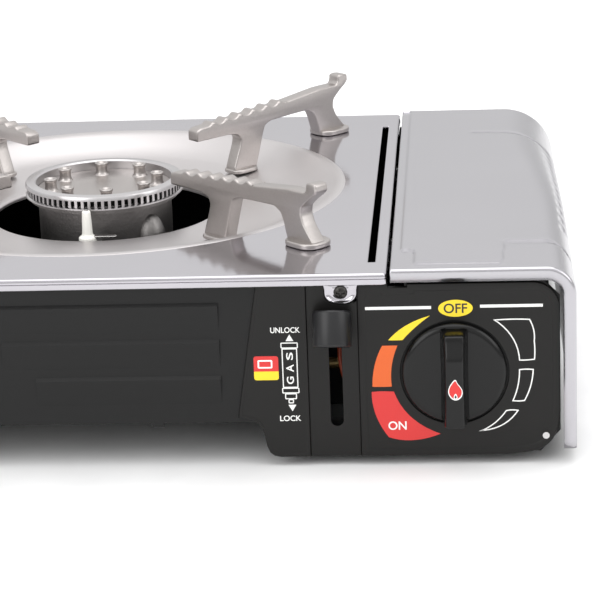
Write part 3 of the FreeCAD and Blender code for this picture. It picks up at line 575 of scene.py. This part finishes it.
# %% [markdown]
# The drip bowl
#
# The bowl is spun from sheet: a rolled rim rests on the plate, the side slopes in and the floor
# ends in a small turned-down collar round the burner. A cone and a disc would meet in hard
# creases. One profile is turned instead, and cutting its corners lets light slide over the bends.

# %% Drip bowl
rim_z, bowl_floor = plate_top, bowl_low[2] + 3
bowl_profile = [(bowl_rim, rim_z + 0.02), (bowl_rim - 0.8, rim_z + 0.3), (bowl_rim - 2.4, rim_z + 0.42),
                (bowl_rim - 4.6, rim_z + 0.1), (bowl_rim - 8, rim_z - 1.5), (bowl_rim - 19, bowl_floor + 2.1),
                (bowl_rim - 26, bowl_floor + 0.5), (57, bowl_floor), (52.4, bowl_floor - 0.2),
                (50.6, bowl_floor - 1.2), (50.4, bowl_low[2] + 0.2)]
make_piece("spun_bowl", [turned(softened(bowl_profile, 3), burner_xy, 192)], "stove", "bowl_steel",
           ["drip_bowl"], sharp=60, wall=0.9, outward=(0, 0, 1))

# %% [markdown]
# The canister lid
#
# The lid wraps over the bay: flat on top, round over the right edge and down the side, with
# narrow flanges folded in at both ends. Its corner grows from a tight bend in front to a wide
# one behind. A box with bevels cannot do that, so the cross-section is a function of the
# distance along the stove, and shallow pressings are added as a height on top.

# %% Lid surface
seam_x, lid_right, lid_top, lid_foot = lid_low[0] - 0.9, lid_high[0], lid_high[2], lid_low[2]
flange = 5.3


def lid_section(along, y):
    """Point and inward normal of the lid's cross-section: flat top, quarter circle, upright side.

    along runs 0 to 1 over the top, 1 to 2 round the corner and 2 to 3 down the side."""
    radius = 12 + 12 * smooth(y, face + 90, face + 262)
    turn = np.clip(along - 1, 0, 1) * np.pi / 2
    x = seam_x + np.clip(along, 0, 1) * (lid_right - radius - seam_x) + radius * np.sin(turn)
    z = lid_top - radius * (1 - np.cos(turn)) - np.clip(along - 2, 0, 1) * (lid_top - radius - lid_foot)
    return x, z, -np.sin(turn), -np.cos(turn)


def pressed_in(x, y):
    """Depth of the step round the lid's raised field, from 0 inside to 1 outside it."""
    left = 99.4 + 5.6 * (1 - smooth(y, face + 25.5, face + 27.5))
    front = face + 6.2 + 19 * (1 - smooth(x, 102.6, 104)) + 30 * smooth(x, 140.6, 142.6)
    return 1 - smooth(x, left, left + 1.2) * smooth(y, front, front + 1.4)


fold_in = np.linspace(0, np.pi / 2, 6)
bead = 1.5
fold_arc = np.stack([bead * (1 - np.sin(fold_in)), bead * (1 - np.cos(fold_in))], -1)
end_in, end_on = np.concatenate([[(flange, 0), (bead + 0.4, 0)], fold_arc]).T
steps_y = np.linspace(lid_low[1] + bead, lid_high[1] - bead, 225)[1:-1]
inset_y = np.concatenate([end_in, np.zeros(len(steps_y)), end_in[::-1]])
places_y = np.concatenate([lid_low[1] + end_on, steps_y, lid_high[1] - end_on[::-1]])
around = np.concatenate([np.linspace(0, 1, 96), np.linspace(1, 2, 30)[1:], np.linspace(2, 3, 26)[1:]])
along, y = np.meshgrid(around, places_y, indexing="ij")
x, z, in_x, in_z = lid_section(along, y)
inset = np.broadcast_to(inset_y, x.shape)
back_from_face = y - face
press = 0.75 * pressed_in(x, y) * (1 - smooth(along, 1.0, 1.35))
arc_line = np.exp(-((back_from_face - 37.3 + 8 * smooth(along, 1.0, 2.0)) / 0.9) ** 2)
arc_line *= smooth(along, 0.7, 0.8)
rear_line = np.exp(-((back_from_face - 224 + 10 * smooth(along, 0.75, 1.8)) / 1.1) ** 2)
rear_line *= smooth(along, 0.62, 0.7)
press += (0.55 * arc_line + 0.5 * rear_line) * (1 - smooth(along, 1.9, 2.15))
ribs_start, rib_pitch, rib_count = 62, 13.4, 12
ribs = np.sin(np.clip((back_from_face - ribs_start) / rib_pitch, 0, rib_count) * np.pi) ** 2
press += ribs * smooth(along, 1.42, 1.66) * (1 - smooth(along, 2.12, 2.22))
depth = inset + press * (inset < 0.01)
lid_surface = np.stack([x + in_x * depth, y, z + in_z * depth], -1)
make_piece("bay_lid", [lid_surface], "lid", "brushed_steel", ["canister_lid"], sharp=50, wall=0.8,
           outward=(0.3, 0, 1))

# %% [markdown]
# The front panel
#
# The panel is moulded black: a raised rim, a field for the knob and one for the lock prints, and
# between them a shallow channel with the lever's slot. One carved block would leave the rim's
# soft edges to a bevel, which fails at small notches. Three flat sheets at two depths, each edge
# following its own profile, give the rim directly. A notch lets the lid's inner edge swing down.

# %% Panel fields, rim and channel
lever_low, lever_high = box("lever_arm")
knob_low, knob_high = box("control_knob")
knob_xz = ((knob_low + knob_high) / 2)[[0, 2]]
lever_x = (lever_low[0] + lever_high[0]) / 2
panel_top, panel_foot, panel_right = panel_high[2], panel_low[2], panel_high[0]
channel = (lever_x - 10.1, lever_x + 10.5)
left_field = np.array([(42, panel_top), (33, 21.4), (35.5, 20.9), (38.6, 20.1), (41, 18.6), (42.7, 16),
                       (43.6, 12.5), (44.3, 8.6), (45.4, 6), (47.2, 4.5), (50, panel_foot),
                       (channel[0], panel_foot), (channel[0], panel_top)])
turn, corner_radius = np.linspace(0, np.pi / 2, 9), 11
corner = np.stack([panel_right - corner_radius * (1 - np.cos(turn)),
                   panel_top - corner_radius * (1 - np.sin(turn))], -1)
notch_in, notch_out, notch_foot = seam_x - 1, seam_x + 6.5, panel_top - 1.3
low_corner = softened([(143, panel_foot), (153, 5), (159.5, 8.5), (162.6, 15), (panel_right, 22)])
right_field = np.concatenate([[(channel[1], panel_foot)], low_corner, corner,
                              [(notch_out, panel_top), (notch_out, notch_foot), (notch_in, notch_foot),
                               (notch_in, panel_top), (channel[1], panel_top)]])
front = -face
thin = -panel_high[1]
rim = [(0.4, thin), (0, thin), (0, front - 0.6), (0.25, front - 0.15), (0.8, front), (2.2, front),
       (2.8, front - 0.12), (3.1, front - 0.4), (3.4, front - 0.45)]
recess = circle(knob_xz, (knob_high[0] - knob_low[0]) / 2 + 0.6)
rivet_low, rivet_high = box("panel_rivet")
rivet_hole = circle(((rivet_low + rivet_high) / 2)[[0, 2]], 1.1, 20)
print_face = front - 0.45
hole_edge = edge_round(print_face, thin, 0.35)
panel_surfaces = sheet_with_edges([right_field, recess, rivet_hole], [rim, hole_edge, hole_edge],
                                  flat_to_front)
narrow_rim = [(0.4, thin), (0, thin), (0, front - 0.6), (0.25, front - 0.2), (0.7, front - 0.15),
              (1.1, front - 0.2), (1.4, front - 0.42), (1.7, front - 0.45)]
panel_surfaces += sheet_with_edges([left_field], [narrow_rim], flat_to_front)
slot_centre = lever_x + 1.05
sweep = np.linspace(0, np.pi, 13)
slot_hole = np.concatenate([np.stack([slot_centre + 2.55 * np.cos(sweep), 63.6 + 2.4 * np.sin(sweep)], -1),
                            np.stack([slot_centre - 2.55 * np.cos(sweep), 19.5 - 2.5 * np.sin(sweep)], -1)])
under_tab = 72
floor_loop = np.concatenate([
    [(channel[0], panel_foot), (channel[1], panel_foot), (channel[1], under_tab)],
    np.stack([screw_x + tab_half * np.cos(sweep), under_tab - 3.2 * np.sin(sweep)], -1),
    [(lever_x - 2.7, panel_top), (channel[0], panel_top)]])
floor_edge = edge_round(front - 0.8, thin, 0.3)
panel_surfaces += sheet_with_edges([floor_loop, slot_hole], [floor_edge, floor_edge], flat_to_front)
make_piece("front_panel", panel_surfaces, "stove", "panel_black", ["control_panel"], sharp=40)

# %% [markdown]
# Prints on the panel
#
# Printed marks could be a painted mask in the shader, but a mask needs a picture or long sums,
# and its edges blur. Real ink stands a few hundredths of a millimetre proud, so each colour is a
# set of very thin sheets. Curved bands follow rings about the knob.

# %% Coloured marks
ink_back, ink_face = print_face - 0.05, print_face + 0.06


def ink(loop, holes=(), lift=0.0):
    """A thin printed sheet in the panel's plane, with holes."""
    edge = [(0, ink_back), (0, ink_face - 0.02 + lift), (0.03, ink_face + lift)]
    return sheet_with_edges([np.asarray(loop, float), *holes], [edge] * (1 + len(holes)), flat_to_front)


def bar(x0, x1, z, thick=1.25):
    """A level printed bar."""
    return ink([(x0, z - thick / 2), (x1, z - thick / 2), (x1, z + thick / 2), (x0, z + thick / 2)])


def bent(start, middle, end, steps=10):
    """Curve through three points: a parabola in the share of the way along."""
    share = np.linspace(0, 1, steps)[:, None]
    start, middle, end = (np.array(spot, float) for spot in (start, middle, end))
    return (start * (1 - share) * (1 - 2 * share) + middle * 4 * share * (1 - share)
            + end * share * (2 * share - 1))


def band(*spots):
    """Closed loop of such curves: corners and the middles between them take turns."""
    spots = [*spots, spots[0]]
    return np.concatenate([bent(*spots[i:i + 3])[:-1] for i in range(0, len(spots) - 2, 2)])


def outline_of(loop, thick=0.5):
    """A line of the given thickness inside a closed loop."""
    loop = wound(loop, True)
    return ink(loop, [offset(loop, thick)], 0.03)


badge_x, badge_z = 45.15, 42.5
off_x, off_z = 121.9, 66.5
turn = np.linspace(0, 2 * np.pi, 40)[:-1]
yellow = ink(np.stack([off_x + 6.9 * np.cos(turn), off_z + 3.55 * np.sin(turn)], -1))
yellow += ink(band((94.7, 53.5), (102, 59.6), (111.7, 63.6), (105.5, 58.6), (100.5, 53.5), (97.6, 53.4)))
yellow += ink(rounded_box(badge_x - 5, badge_x + 5, badge_z - 5.2, badge_z - 1.5, (1, 1, 0.1, 0.1), 4))
orange = ink(band((92.2, 51.2), (89, 43), (87.9, 33.8), (91.8, 33.7), (95.7, 33.8), (95.9, 42.7),
                  (98.4, 51.2), (95.3, 51.2)))
red = ink(band((87.5, 31.6), (89, 21.5), (94, 12), (104, 10.6), (115, 13.2), (103.2, 20.6),
               (96.5, 31.6), (92, 31.8)))
red += ink(rounded_box(badge_x - 5, badge_x + 5, badge_z - 1.5, badge_z + 5, (0.1, 0.1, 1, 1), 4))
white = bar(83.4, 112.2, 67) + bar(131.7, 156.7, 67.2)
white += outline_of(band((136.8, 61.5), (144, 61.8), (151.5, 61.6), (153.2, 57), (153.4, 52.3), (153.6, 48),
                         (153.4, 44.3), (150, 44), (147, 44), (144.2, 53.8)))
white += outline_of(band((146.9, 40.4), (149.9, 40.6), (152.9, 40.4), (151.8, 33.2), (149.2, 26.8),
                         (146.6, 26.6), (144, 26.8), (146.2, 33.4)))
white += outline_of(band((141.5, 23), (144.1, 23.3), (146.8, 23), (140, 16.4), (130.5, 14.1), (136.6, 17.6)))
white += ink([(53.4, 53.8), (56.6, 53.8), (55, 56.6)]) + ink([(53.6, 26.6), (55.2, 23.8), (56.8, 26.6)])
can_x = 54.8
for half, low, high in ((3.5, 50.7, 53.2), (3.15, 33.9, 50.7), (3.5, 31.5, 33.9), (2.4, 29, 31.5),
                        (1.1, 27.2, 29)):
    white += outline_of(rounded_box(can_x - half, can_x + half, low, high, (0.4,) * 4, 3), 0.42)
white += outline_of(rounded_box(badge_x - 3.4, badge_x + 2.6, badge_z - 0.2, badge_z + 3.4, (0.5,) * 4, 3),
                    0.65)
print("marks", {"yellow": len(yellow), "orange": len(orange), "red": len(red), "white": len(white)})

# %% [markdown]
# Words on the panel
#
# A text object is already flat letters, but its place would be lost on export. So each word is
# made a mesh, its points are scaled to the height and length that the real word has, and its
# faces are laid just above the ink. Only the plain words of the controls are kept.

# %% Words
def words(text, x, z, height, length, upright_text=False):
    """Flat letters of the built-in font with that height and length, centred at x, z."""
    curve = bpy.data.curves.new("words", "FONT")
    curve.body, curve.size = text, 1.0
    curve.resolution_u, curve.offset = 6, 0.016
    letters = bpy.data.objects.new("words", curve)
    bpy.context.collection.objects.link(letters)
    mesh = bpy.data.meshes.new_from_object(letters)
    spots = np.empty(len(mesh.vertices) * 3)
    mesh.vertices.foreach_get("co", spots)
    spots = spots.reshape(-1, 3)[:, :2]
    faces = [list(polygon.vertices) for polygon in mesh.polygons]
    bpy.data.objects.remove(letters)
    spots = (spots - (spots.min(0) + spots.max(0)) / 2) / np.ptp(spots, axis=0) * (length, height)
    if upright_text:
        spots = np.stack([-spots[:, 1], spots[:, 0]], -1)
    raised = flat_to_front(spots + (x, z), ink_face + 0.03)
    return [in_triangles(raised, faces)]


def in_triangles(points, faces):
    """The letters' points, and their faces cut into triangles from each first corner."""
    return points, np.array([(corners[0], corners[i], corners[i + 1])
                             for corners in faces for i in range(1, len(corners) - 1)])


white_words = (words("ON", 97.6, 17, 3.7, 7.4) + words("UNLOCK", 53.4, 58.5, 2.4, 12.0)
               + words("LOCK", 54.3, 20.8, 2.4, 8.6) + words("G", can_x, 37.1, 2.9, 3.2, True)
               + words("A", can_x, 42.3, 3.1, 3.2, True) + words("S", can_x, 47.4, 2.7, 3.2, True))
for name, marks, material in (("print_yellow", yellow, "print_yellow"),
                              ("print_orange", orange, "print_orange"), ("print_red", red, "print_red"),
                              ("print_white", white, "print_white"),
                              ("words_white", white_words, "print_white"),
                              ("words_off", words("OFF", off_x, off_z, 4.1, 9.4), "print_dark")):
    make_piece(name, marks, "stove", material, outward=(0, -1, 0) if "words" in name else None)

# %% [markdown]
# The control knob
#
# A glossy disc with a grip bar across it. The bar has steep flanks and a broad level crest that
# falls towards its upper end. A bevelled box has no such fall, so the bar is a surface of two
# parameters: the way along it and the way over its section. The flame mark is a fan of faces
# laid on the same crest.

# %% Knob with grip bar
knob_front, knob_radius = knob_low[1], (knob_high[0] - knob_low[0]) / 2
disc_face = face - 1.9
turn = np.linspace(0, 2 * np.pi, 129)
disc_profile = softened([(0.01, disc_face + 0.25), (13, disc_face + 0.25), (16.6, disc_face),
                         (19.4, disc_face), (knob_radius, disc_face + 1.5), (knob_radius, knob_high[1]),
                         (0.01, knob_high[1])], 3)
out, deep = disc_profile[:, :1], disc_profile[:, 1:] + 0 * turn
disc = np.stack([knob_xz[0] + out * np.cos(turn), deep, knob_xz[1] + out * np.sin(turn)], -1)
along = np.linspace(-1, 1, 91)[:, None]
over = np.linspace(-1, 1, 61)[None, :]
bar_half, grip_half, bar_root = 19.6, 5.2, disc_face + 1.2


def crest(along):
    """How far the bar stands from the disc's face: level, with a fall towards its upper end."""
    return disc_face + 1.1 - knob_front - 3.6 * smooth(along, 0.42, 0.98) - 0.5 * (1 - along ** 2)


end_round = np.sqrt(np.clip(1 - np.clip((np.abs(along) - 0.93) / 0.07, 0, 1) ** 2, 0, 1))
half_width = (grip_half - 0.25 * np.cos(along * np.pi / 2)) * (0.7 + 0.3 * end_round)
bar_height = crest(along) * (0.2 + 0.8 * end_round) * (1 - np.abs(over) ** 9)
flank = half_width * over * (1 + 0.14 * np.abs(over) ** 30)
bar_y = np.maximum(bar_root - bar_height, knob_front + 0.05)
grip_bar = np.stack([knob_xz[0] + flank, bar_y, knob_xz[1] + bar_half * along + 0 * over], -1)
make_piece("glossy_knob", [disc, grip_bar], "knob", "gloss_black", ["control_knob"], sharp=70)


def on_bar(loop, centre, lift):
    """A closed loop round a centre as a fan of thin faces lying on the bar's crest."""
    loop = np.concatenate([loop, loop[:1]]) + centre
    spots = centre + (loop - centre) * np.linspace(0, 1, 6)[:, None, None]
    place_along = (spots[..., 1] - knob_xz[1]) / bar_half
    return np.stack([spots[..., 0], bar_root - crest(place_along) - lift, spots[..., 1]], -1)


mark_centre = np.array([knob_xz[0] + 0.3, knob_xz[1] - 2.4])
heart_centre = mark_centre + (0, -2.6)
flame = softened([(0, 4.6), (-1.7, 2.5), (-2.7, 0.6), (-2.8, -1.4), (-1.8, -3.3), (-0.3, -4.2),
                  (1.3, -3.8), (2.5, -2.5), (2.8, -0.4), (1.9, 1.3), (0.8, 2.6)], 3, closed=True)
heart = softened([(0, 1.5), (-0.8, 0), (-0.7, -1.2), (0.7, -1.2), (0.8, 0)], 3, closed=True)
make_piece("flame_outline", [on_bar(flame * 1.06, mark_centre, 0.05), on_bar(heart, heart_centre, 0.13)],
           "knob", "print_white", outward=(0, -1, 0))
make_piece("flame_mark", [on_bar(flame * 0.92, mark_centre, 0.09)], "knob", "print_red", outward=(0, -1, 0))
make_piece("flame_heart", [on_bar(heart * 0.55, heart_centre - (0, 0.15), 0.17)], "knob", "print_dark",
           outward=(0, -1, 0))

# %% [markdown]
# The burner ring
#
# The ring is machined: a broad bright lip on top, a narrow rim below, and between them a row of
# flame ports cut inwards. Seventy-two separate boxes would be slow and would not join. One grid
# does it: its radius is a square wave of the angle, deep in the ports and shallow on the bars.

# %% Ring with flame ports
ring_radius, ring_low, ring_top = (burner_high[0] - burner_low[0]) / 2, burner_low[2], burner_high[2]
port_count = 72
upper = [(30.6, ring_low + 0.3), (30.6, ring_top - 0.6), (31.3, ring_top), (ring_radius - 1.3, ring_top),
         (ring_radius - 0.5, ring_top - 0.25), (ring_radius - 0.1, ring_top - 0.9),
         (ring_radius, ring_top - 2.0), (ring_radius - 0.7, ring_top - 2.2)]
lower = [(ring_radius - 0.7, ring_low + 1.2), (ring_radius - 0.05, ring_low + 0.9),
         (ring_radius, ring_low + 0.3), (ring_radius - 0.8, ring_low)]
pattern = np.array([0.02, 0.44, 0.46, 1.0])
port_turn = ((np.arange(port_count)[:, None] + pattern) * 2 * np.pi / port_count).ravel()
port_turn = np.append(port_turn, port_turn[0] + 2 * np.pi)
bar_radius, port_floor = ring_radius - 0.8, ring_radius - 3.4
port_radius = np.append(np.tile([bar_radius, bar_radius, port_floor, port_floor], port_count), bar_radius)
port_heights = np.array([ring_low + 1.2, ring_top - 2.2])[:, None]
ports = np.stack([burner_xy[0] + port_radius * np.cos(port_turn) + 0 * port_heights,
                  burner_xy[1] + port_radius * np.sin(port_turn) + 0 * port_heights,
                  port_heights + 0 * port_turn], -1)


def ported_metal(net):
    """Machined rings on the metal, and near-black painted shade, with a little soot, where the radius and
    height lie inside a flame port.
    """
    flat = net.place((1, 1, 0), (-burner_metres[0], -burner_metres[1], 0))
    radius = net.add("ShaderNodeVectorMath", {"operation": "LENGTH"}, {0: flat}, output="Value")
    height = net.add("ShaderNodeSeparateXYZ", {}, {0: net.place()}, output="Z")
    # Painted shade: the floors and walls deep in the ports are made near black and not metallic, with a
    # little soot.
    port_shade_and_soot = net.spread(radius, 0.0309, 0.0312) * (1 - net.spread(radius, 0.0336, 0.0344))
    port_shade_and_soot = port_shade_and_soot * net.spread(height, (ring_low + 1.0) * METRES, (ring_low + 1.3) * METRES)
    port_shade_and_soot = port_shade_and_soot * (1 - net.spread(height, (ring_top - 2.4) * METRES, (ring_top - 2.1) * METRES))
    rings = net.noise(net.add("ShaderNodeCombineXYZ", {}, {"X": radius}), 3000.0, 3.0)
    clouds = net.noise(net.place(), 30.0, 2.0)
    bright = net.blend(clouds, (0.48, 0.465, 0.47), (0.6, 0.585, 0.59))
    return {"Base Color": net.blend(port_shade_and_soot, bright, (0.004, 0.004, 0.004)), "Metallic": 1 - port_shade_and_soot,
            "Roughness": 0.3 + (rings - 0.5) * 0.12 + port_shade_and_soot * 0.5, "Normal": net.bump(rings, 0.0000008)}


finish("ring_metal", ported_metal)
make_piece("flame_ring", [turned(upper, burner_xy), turned(lower, burner_xy), ports], "stove", "ring_metal",
           ["burner_ring"], sharp=38, slot="machined_aluminium")

# %% [markdown]
# The crown inside the ring
#
# A casting with eight studs whose heads are cupped. Cylinders would miss the narrow waist that
# catches the light, so each stud is a turned profile and all eight share it. The floor between
# them is a shallow turned dish.

# %% Crown and studs
crown_low, crown_high = box("burner_crown")
stud_top, seat = crown_high[2], crown_low[2]
stud = softened([(0.02, stud_top - 1.0), (1.5, stud_top - 0.9), (2.1, stud_top - 0.1), (2.9, stud_top),
                 (3.1, stud_top - 0.8), (2.5, stud_top - 1.6), (2.7, seat + 2.4), (3.9, seat + 1.2)])
dish_floor = softened([(0.02, seat + 1.0), (14, seat + 1.0), (20, seat + 1.6), (28, seat + 1.6),
                       (30.5, seat + 2.2)])
crown_surfaces = [turned(dish_floor, burner_xy, 96)]
stud_circle = 24
for turn in np.radians(45 * np.arange(8) + 10):
    stud_xy = burner_xy + stud_circle * np.array([math.cos(turn), math.sin(turn)])
    crown_surfaces.append(turned(stud, stud_xy, 28))
make_piece("studded_crown", crown_surfaces, "stove", "arm_casting",
           ["burner_crown"], sharp=60, outward=(0, 0, 1), slot="cast_aluminium")

# %% [markdown]
# The spark post
#
# A tapered glazed pin stands on a wider foot, with a thin steel strip beside it. Two stacked
# cones would leave hard rings on the glaze, so the pin is turned from one softened profile. The
# strip is a flat sheet with rounded edges. The shoulder of the burner's tube swells beside them,
# and a sphere stretched upwards is near enough for it.

# %% Spark post and strip
post_low, post_high = box("electrode_ceramic")
post_xy = (post_low + post_high)[:2] / 2
post_top, post_foot = post_high[2] + 2.4, post_low[2] + 6
post = [(0.02, post_top), (1.5, post_top), (1.95, post_top - 0.5), (2.3, post_foot + 7.4),
        (2.5, post_foot + 5.9), (3.8, post_foot + 5.2), (4.0, post_foot + 4.2), (3.9, post_foot),
        (2.1, post_foot), (2.0, post_low[2]), (0.02, post_low[2])]
make_piece("spark_post", [turned(softened(post), post_xy, 40)], "stove", "white_ceramic",
           ["electrode_ceramic"], sharp=60)
shoulder_turn = math.radians(-40)
shoulder_xy = burner_xy + 29 * np.array([math.cos(shoulder_turn), math.sin(shoulder_turn)])
dome_turn, dome_up = np.meshgrid(np.linspace(0, 2 * np.pi, 49), np.linspace(0, np.pi, 25))
shoulder = np.stack([shoulder_xy[0] + 7 * np.cos(dome_turn) * np.sin(dome_up),
                     shoulder_xy[1] + 7 * np.sin(dome_turn) * np.sin(dome_up),
                     post_low[2] + 2 + 13 * np.cos(dome_up)], -1)
make_piece("tube_shoulder", [shoulder], "stove", "cast_aluminium", sharp=60)
strip = rounded_box(post_xy[0] + 2, post_xy[0] + 13, post_xy[1] - 1.5, post_xy[1] + 1.2,
                    (0.3, 1.2, 1.2, 0.3), 4)
strip_back, strip_face = 71.1, 71.6
make_piece("spark_strip", sheet_with_edges([strip], [edge_round(strip_face, strip_back, 0.15)], flat_to_top),
           "stove", "bright_steel")

# %% [markdown]
# The pan supports
#
# Each arm is one sand casting: a toothed beam, two legs, a peg and two round foot flanges. An
# extruded outline with a bevel pinches at the small teeth. Here the outline is walked inwards
# ring by ring, and each ring is relaxed more than the last, which rounds edges as sand does.

# %% Cast slabs
def evenly(loop, gap):
    """The closed loop again with points the same gap apart."""
    closed = np.concatenate([loop, loop[:1]])
    walked = np.concatenate([[0], np.cumsum(np.linalg.norm(np.diff(closed, axis=0), axis=1))])
    marks = np.linspace(0, walked[-1], int(walked[-1] / gap) + 1)[:-1]
    return np.stack([np.interp(marks, walked, closed[:, 0]), np.interp(marks, walked, closed[:, 1])], -1)


def relaxed(loop, rounds):
    """Each point moves a quarter of the way to each neighbour, several times."""
    for _ in range(rounds):
        loop = 0.5 * loop + 0.25 * (np.roll(loop, 1, 0) + np.roll(loop, -1, 0))
    return loop


def cast_slab(outline, low, high, radius, place, gap=0.7, steps=5):
    """A slab between two heights; its rings go in by r (1 - cos t) while the height goes by r sin t."""
    loop = relaxed(evenly(wound(np.asarray(outline, float), True), gap), 3)
    turn = np.linspace(0, np.pi / 2, steps)
    insets = radius * (1 - np.cos(turn))
    rise = radius * (1 - np.sin(turn))
    rings = [relaxed(offset(loop, inset), int(9 * inset / radius)) for inset in insets]
    rows = [place(ring, low + drop) for ring, drop in zip(rings[::-1], rise[::-1])]
    rows += [place(ring, high - drop) for ring, drop in zip(rings, rise)]
    surface = np.stack([np.concatenate([row, row[:1]]) for row in rows])
    caps = []
    for row in (rows[0], rows[-1]):
        caps.append((row, np.array(tessellate_polygon([[Vector(spot) for spot in row]]))))
    return [surface, *caps]


print("slab helpers ready")

# %% [markdown]
# Four arms round the bowl
#
# All four arms are the same casting, each turned to its own corner. Copies of one object would
# need a turned object, so the outline is laid out once along a radius, and two small functions
# place it at each bearing: one stands a slab upright, the other lays a foot flange level.

# %% Four arms
arm_top = box("pan_arm_front_right")[1][2] - 4.6
arm_outer = 148.0
tip_z = arm_top - 5.6
teeth = [(arm_outer - 95.5 + 8.6 + 8.2 * step + shift, tip_z + 0.2 + 0.55 * step + rise)
         for step in range(6) for shift, rise in ((0, 0), (0.9, 1.2), (2.6, 1.3), (4.4, 0.2), (6.6, 0.1))]
arm_outline = [(52.5, tip_z - 6.2), (52.6, tip_z - 1.2), (55, tip_z - 0.1), *teeth,
               (arm_outer - 41, arm_top - 2.6),
               *[(arm_outer - back, arm_top + rise) for back, rise in (
                   (18, -0.1), (7.4, 0), (6.5, 1.4), (6.4, 4.2), (4, 4.6), (0.6, 4.2), (0.2, 1.2), (2, -0.6),
                   (6, -3.4), (9.6, -6.6), (10.2, -10), (8.6, -14), (5.4, -18))],
               *[(arm_outer - back, plate_top + rise) for back, rise in (
                   (2.6, 2.2), (2.6, 1), (18, 1), (19.4, 2), (21.4, 9), (23, 12.4), (27, 14.4), (36, 14.2),
                   (50, 13.6), (53.6, 12.2), (55, 9))],
               (88.4, bowl_floor + 4), (88, bowl_floor + 1.4), (74, bowl_floor + 1.4), (74.4, bowl_floor + 4),
               (78.6, plate_top + 5.5), (79.2, plate_top + 8.4), (77.4, plate_top + 10.6),
               (72, plate_top + 11.6)]
beam_half = 3.5
outer_flange = rounded_box(arm_outer - 19.2, arm_outer - 1, -7.9, 7.9, (6,) * 4)
inner_flange = rounded_box(73.6, 88.4, -5.9, 5.9, (4,) * 4)
for name, bearing in (("front_right", -45), ("back_right", 45), ("back_left", 135), ("front_left", -135)):
    out_x, out_y = math.cos(math.radians(bearing)), math.sin(math.radians(bearing))

    def stand(spots, sideways):
        """Lays (radius, height) points in the arm's upright plane, a distance to its side."""
        return np.stack([burner_xy[0] + spots[:, 0] * out_x - sideways * out_y,
                         burner_xy[1] + spots[:, 0] * out_y + sideways * out_x, spots[:, 1]], -1)

    def lie(spots, height):
        """Lays (radius, sideways) points level at a height."""
        return flat_to_top(stand(np.stack([spots[:, 0], 0 * spots[:, 0]], -1), spots[:, 1])[:, :2], height)

    surfaces = cast_slab(arm_outline, -beam_half, beam_half, 0.8, stand, 0.5)
    surfaces += cast_slab(outer_flange, plate_top + 0.05, plate_top + 2.6, 0.8, lie)
    surfaces += cast_slab(inner_flange, bowl_floor + 1.25, bowl_floor + 3.4, 0.9, lie)
    make_piece("arm_" + name, surfaces, "stove", "arm_casting", ["pan_arm_" + name], sharp=50)

# %% [markdown]
# The lever's knob
#
# A half-round grip, flat behind, on the end of the lever's arm. It could be a cut cylinder, but
# its ends are rounded like a casting's, so the cast slab serves again: a D for its outline and
# the leaning axis of the arm for its place.

# %% Lever grip
shaft_low, shaft_high = box("lever_shaft")
shaft_y, shaft_z = ((shaft_low + shaft_high) / 2)[1:]
lean = math.atan2(19.3, 51.5)
bow, grip_radius, grip_rise = np.linspace(0, np.pi, 33), 8, 7.4
grip_outline = grip_radius * np.stack([np.cos(bow), np.sin(bow)], -1)


def lean_on_arm(spots, rise):
    """Lays (sideways, outwards) points across the lever's arm, a distance up its leaning axis."""
    reach = 52.6 + spots[:, 1]
    return np.stack([lever_x + 0.3 + spots[:, 0], shaft_y - reach * math.cos(lean) + rise * math.sin(lean),
                     shaft_z + reach * math.sin(lean) + rise * math.cos(lean)], -1)


make_piece("lever_grip", cast_slab(grip_outline, -grip_rise, grip_rise, 1.0, lean_on_arm, 0.8), "lever",
           "dark_plastic", ["lever_knob"], sharp=50)
